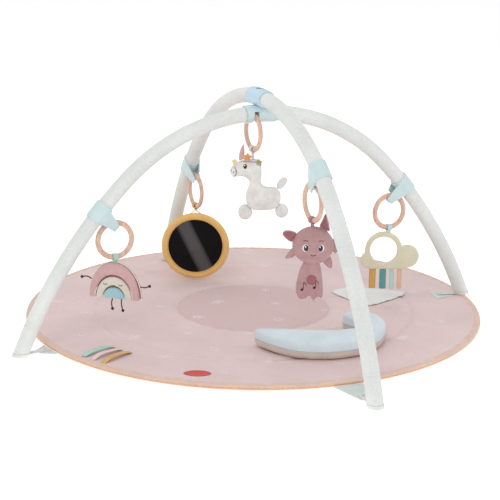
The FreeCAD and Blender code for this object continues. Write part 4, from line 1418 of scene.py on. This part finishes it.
class GYM_OT_creature(bpy.types.Operator):
    """Makes the mauve plush toy with its fins, simple face, printed notes and sound button"""
    bl_idname = "gym.make_creature"
    bl_label = "Winged toy"

    def execute(self, context):
        x, z, wide, tall = CREATURE_HEAD
        bm = bmesh.new()
        bmesh.ops.create_icosphere(bm, subdivisions=5, radius=1)
        for vert in bm.verts:
            soft = 0.012 * noise.noise(vert.co * 2.5)
            vert.co = Vector((x + wide * vert.co.x * (1 + soft), CREATURE_HEAD_HALF * vert.co.y,
                              z + tall * vert.co.z * (1 + soft)))
        to_metres(bm)
        head = from_bmesh("creature_face", bm, "mauve_plush")
        body = stuffed("creature_plush", [smooth_loop(CREATURE_BODY)], -10, 20, "mauve_plush",
                       3.0, 3.5, 2.0)
        fins = stuffed("creature_fins", [smooth_loop(fin) for fin in CREATURE_FINS], -4, 6,
                       "mauve_plush", 2.0, 2.0, 0.4)
        subdivide(body)
        for obj, node in ((head, "creature_head"), (body, "creature_body"), (fins, "creature_ears")):
            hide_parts(node)
        front = surface_tree(head)
        belly = surface_tree(body)
        inner = sewn_patch("creature_inner_fins", surface_tree(fins), [
            shrink(smooth_loop(fin, 4), 3.0) for fin in CREATURE_FINS[:2]], "rose_plush")
        whites = sewn_patch("creature_eye_whites", front, [
            oval(-13, -51, 6.2, 7.6), oval(17, -51, 6.2, 7.6)], "eye_white")
        eyes = sewn_patch("creature_eyes", front, [oval(-12, -51, 4.6, 6.4), oval(16, -51, 4.6, 6.4)],
                          "eye_brown", 0.9)
        glints = sewn_patch("creature_glints", front, [oval(-13.4, -48, 1.3, 1.6, 0, 10),
                            oval(14.6, -48, 1.3, 1.6, 0, 10)], "eye_white", 1.5)
        face = embroider("creature_stitched_face", front, [
            arc_line(-13, -40, 6, 3.5, 40, 140), arc_line(17, -40, 6, 3.5, 40, 140),
            arc_line(2, -62, 6, 4.5, 205, 335)], 0.6, "dark_thread")
        seam = threads("creature_seam", cut_loops(body, (0, 0, 0), (0, 1, 0)), 0.5, "mauve_side",
                       cyclic=True)
        notes = []
        for x0, z0 in ((-16, -138), (8, -134)):
            notes.append([(x0, z0), (x0 + 0.5, z0 + 8), (x0 + 1, z0 + 15)])
            notes.append([(x0 + 1, z0 + 15), (x0 + 5, z0 + 12), (x0 + 6, z0 + 8)])
        stems = embroider("creature_note_stems", belly, notes, 0.6, "dark_thread")
        heads = sewn_patch("creature_note_heads", belly, [oval(-18, -138, 3, 2.2, 20, 14),
                           oval(6, -134, 3, 2.2, 20, 14)], "dark_thread")
        bm = bmesh.new()
        made = bmesh.ops.create_uvsphere(bm, u_segments=48, v_segments=24, radius=1)["verts"]
        bmesh.ops.rotate(bm, verts=made, cent=(0, 0, 0), matrix=Matrix.Rotation(math.pi / 2, 3, "X"))
        bmesh.ops.scale(bm, verts=made, vec=(BUTTON_R, 3.0, BUTTON_R))
        bmesh.ops.translate(bm, verts=made, vec=(0, -12.5, BUTTON_Z))
        to_metres(bm)
        button = from_bmesh("creature_press_pad", bm, "rose_plush")
        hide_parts("creature_button")
        hang(button, "creature", "creature_button")
        for obj in (head, body, fins, inner, whites, eyes, glints, face, seam, stems, heads):
            hang(obj, "creature")
        dress("white_plastic", "creature_sound_box")
        return {"FINISHED"}


# ---------------------------------------------------------------- stage
CAMERA_PLACE = (-1.2420, -2.6578, 0.9718)
CAMERA_FORWARD = (0.40335, 0.87587, -0.26487)
CAMERA_ROLL = 0.73
CAMERA_LENS = 102.9
SENSOR_WIDTH = 36
WORLD_STRENGTH = 0.56
LIGHTS_AIM = (0, 0, 0.15)
FLOOR_HALF = 40
LIGHTS = (
    ("key", (-1.8, -2.2, 3.0), 2.6, 31.0),
    ("fill", (2.6, -1.6, 2.0), 2.6, 11.0),
    ("top", (0.2, 0.6, 3.4), 3.2, 22.0),
    ("back", (-0.6, 3.2, 2.2), 2.6, 10.0),
)


class GYM_OT_stage(bpy.types.Operator):
    """Makes the pale floor, the soft studio lights and the camera"""
    bl_idname = "gym.make_stage"
    bl_label = "Stage"

    def execute(self, context):
        bm = bmesh.new()
        bmesh.ops.create_grid(bm, x_segments=1, y_segments=1, size=FLOOR_HALF)
        bmesh.ops.translate(bm, verts=bm.verts, vec=(0, 0, CAD_BOX[0].z - 0.5 * MM))
        from_bmesh("studio_floor", bm, "floor", smooth=False)
        for name, place, size, power in LIGHTS:
            data = bpy.data.lights.new(name, "AREA")
            data.size = size
            data.energy = power
            lamp = show(bpy.data.objects.new(name, data))
            lamp.location = place
            aim = Vector(LIGHTS_AIM) - Vector(place)
            lamp.rotation_euler = aim.to_track_quat("-Z", "Y").to_euler()
        world = bpy.data.worlds.new("studio")
        context.scene.world = world
        world.use_nodes = True
        sky = world.node_tree.nodes["Background"]
        sky.inputs["Color"].default_value = (1.0, 1.0, 1.0, 1)
        sky.inputs["Strength"].default_value = WORLD_STRENGTH
        context.scene.view_settings.view_transform = "Standard"
        data = bpy.data.cameras.new("camera")
        data.lens = CAMERA_LENS
        data.sensor_width = SENSOR_WIDTH
        camera = show(bpy.data.objects.new("camera", data))
        aim = Vector(CAMERA_FORWARD).to_track_quat("-Z", "Y").to_matrix().to_4x4()
        roll = Matrix.Rotation(math.radians(CAMERA_ROLL), 4, "Z")
        camera.matrix_world = Matrix.Translation(CAMERA_PLACE) @ aim @ roll
        context.scene.camera = camera
        return {"FINISHED"}


OPERATORS = (GYM_OT_stage, GYM_OT_mat, GYM_OT_pillow, GYM_OT_arches, GYM_OT_hangers, GYM_OT_rainbow,
             GYM_OT_cloud, GYM_OT_mirror, GYM_OT_llama, GYM_OT_creature)


class GYM_PT_panel(bpy.types.Panel):
    """Lists the gym's pieces and their settings"""
    bl_idname = "GYM_PT_panel"
    bl_label = "Play Gym"
    bl_space_type = "VIEW_3D"
    bl_region_type = "UI"
    bl_category = "Play Gym"

    def draw(self, context):
        for operator in OPERATORS:
            self.layout.operator(operator.bl_idname)
        for group in (context.scene.gym_colours, context.scene.gym_sizes):
            for key in group.bl_rna.properties.keys():
                if key not in ("rna_type", "name"):
                    self.layout.prop(group, key)


CLASSES = (GymColours, GymSizes) + OPERATORS + (GYM_PT_panel,)


def register():
    for kind in CLASSES:
        bpy.utils.register_class(kind)
    bpy.types.Scene.gym_colours = PointerProperty(type=GymColours)
    bpy.types.Scene.gym_sizes = PointerProperty(type=GymSizes)


def unregister():
    del bpy.types.Scene.gym_colours
    del bpy.types.Scene.gym_sizes
    for kind in reversed(CLASSES):
        bpy.utils.unregister_class(kind)


def main():
    register()
    bpy.ops.gym.make_stage()
    bpy.ops.gym.make_mat()
    bpy.ops.gym.make_pillow()
    bpy.ops.gym.make_arches()
    bpy.ops.gym.finish_hangers()
    bpy.ops.gym.make_rainbow()
    bpy.ops.gym.make_cloud()
    bpy.ops.gym.make_mirror()
    bpy.ops.gym.make_llama()
    bpy.ops.gym.make_creature()


if __name__ == "__main__":
    main()
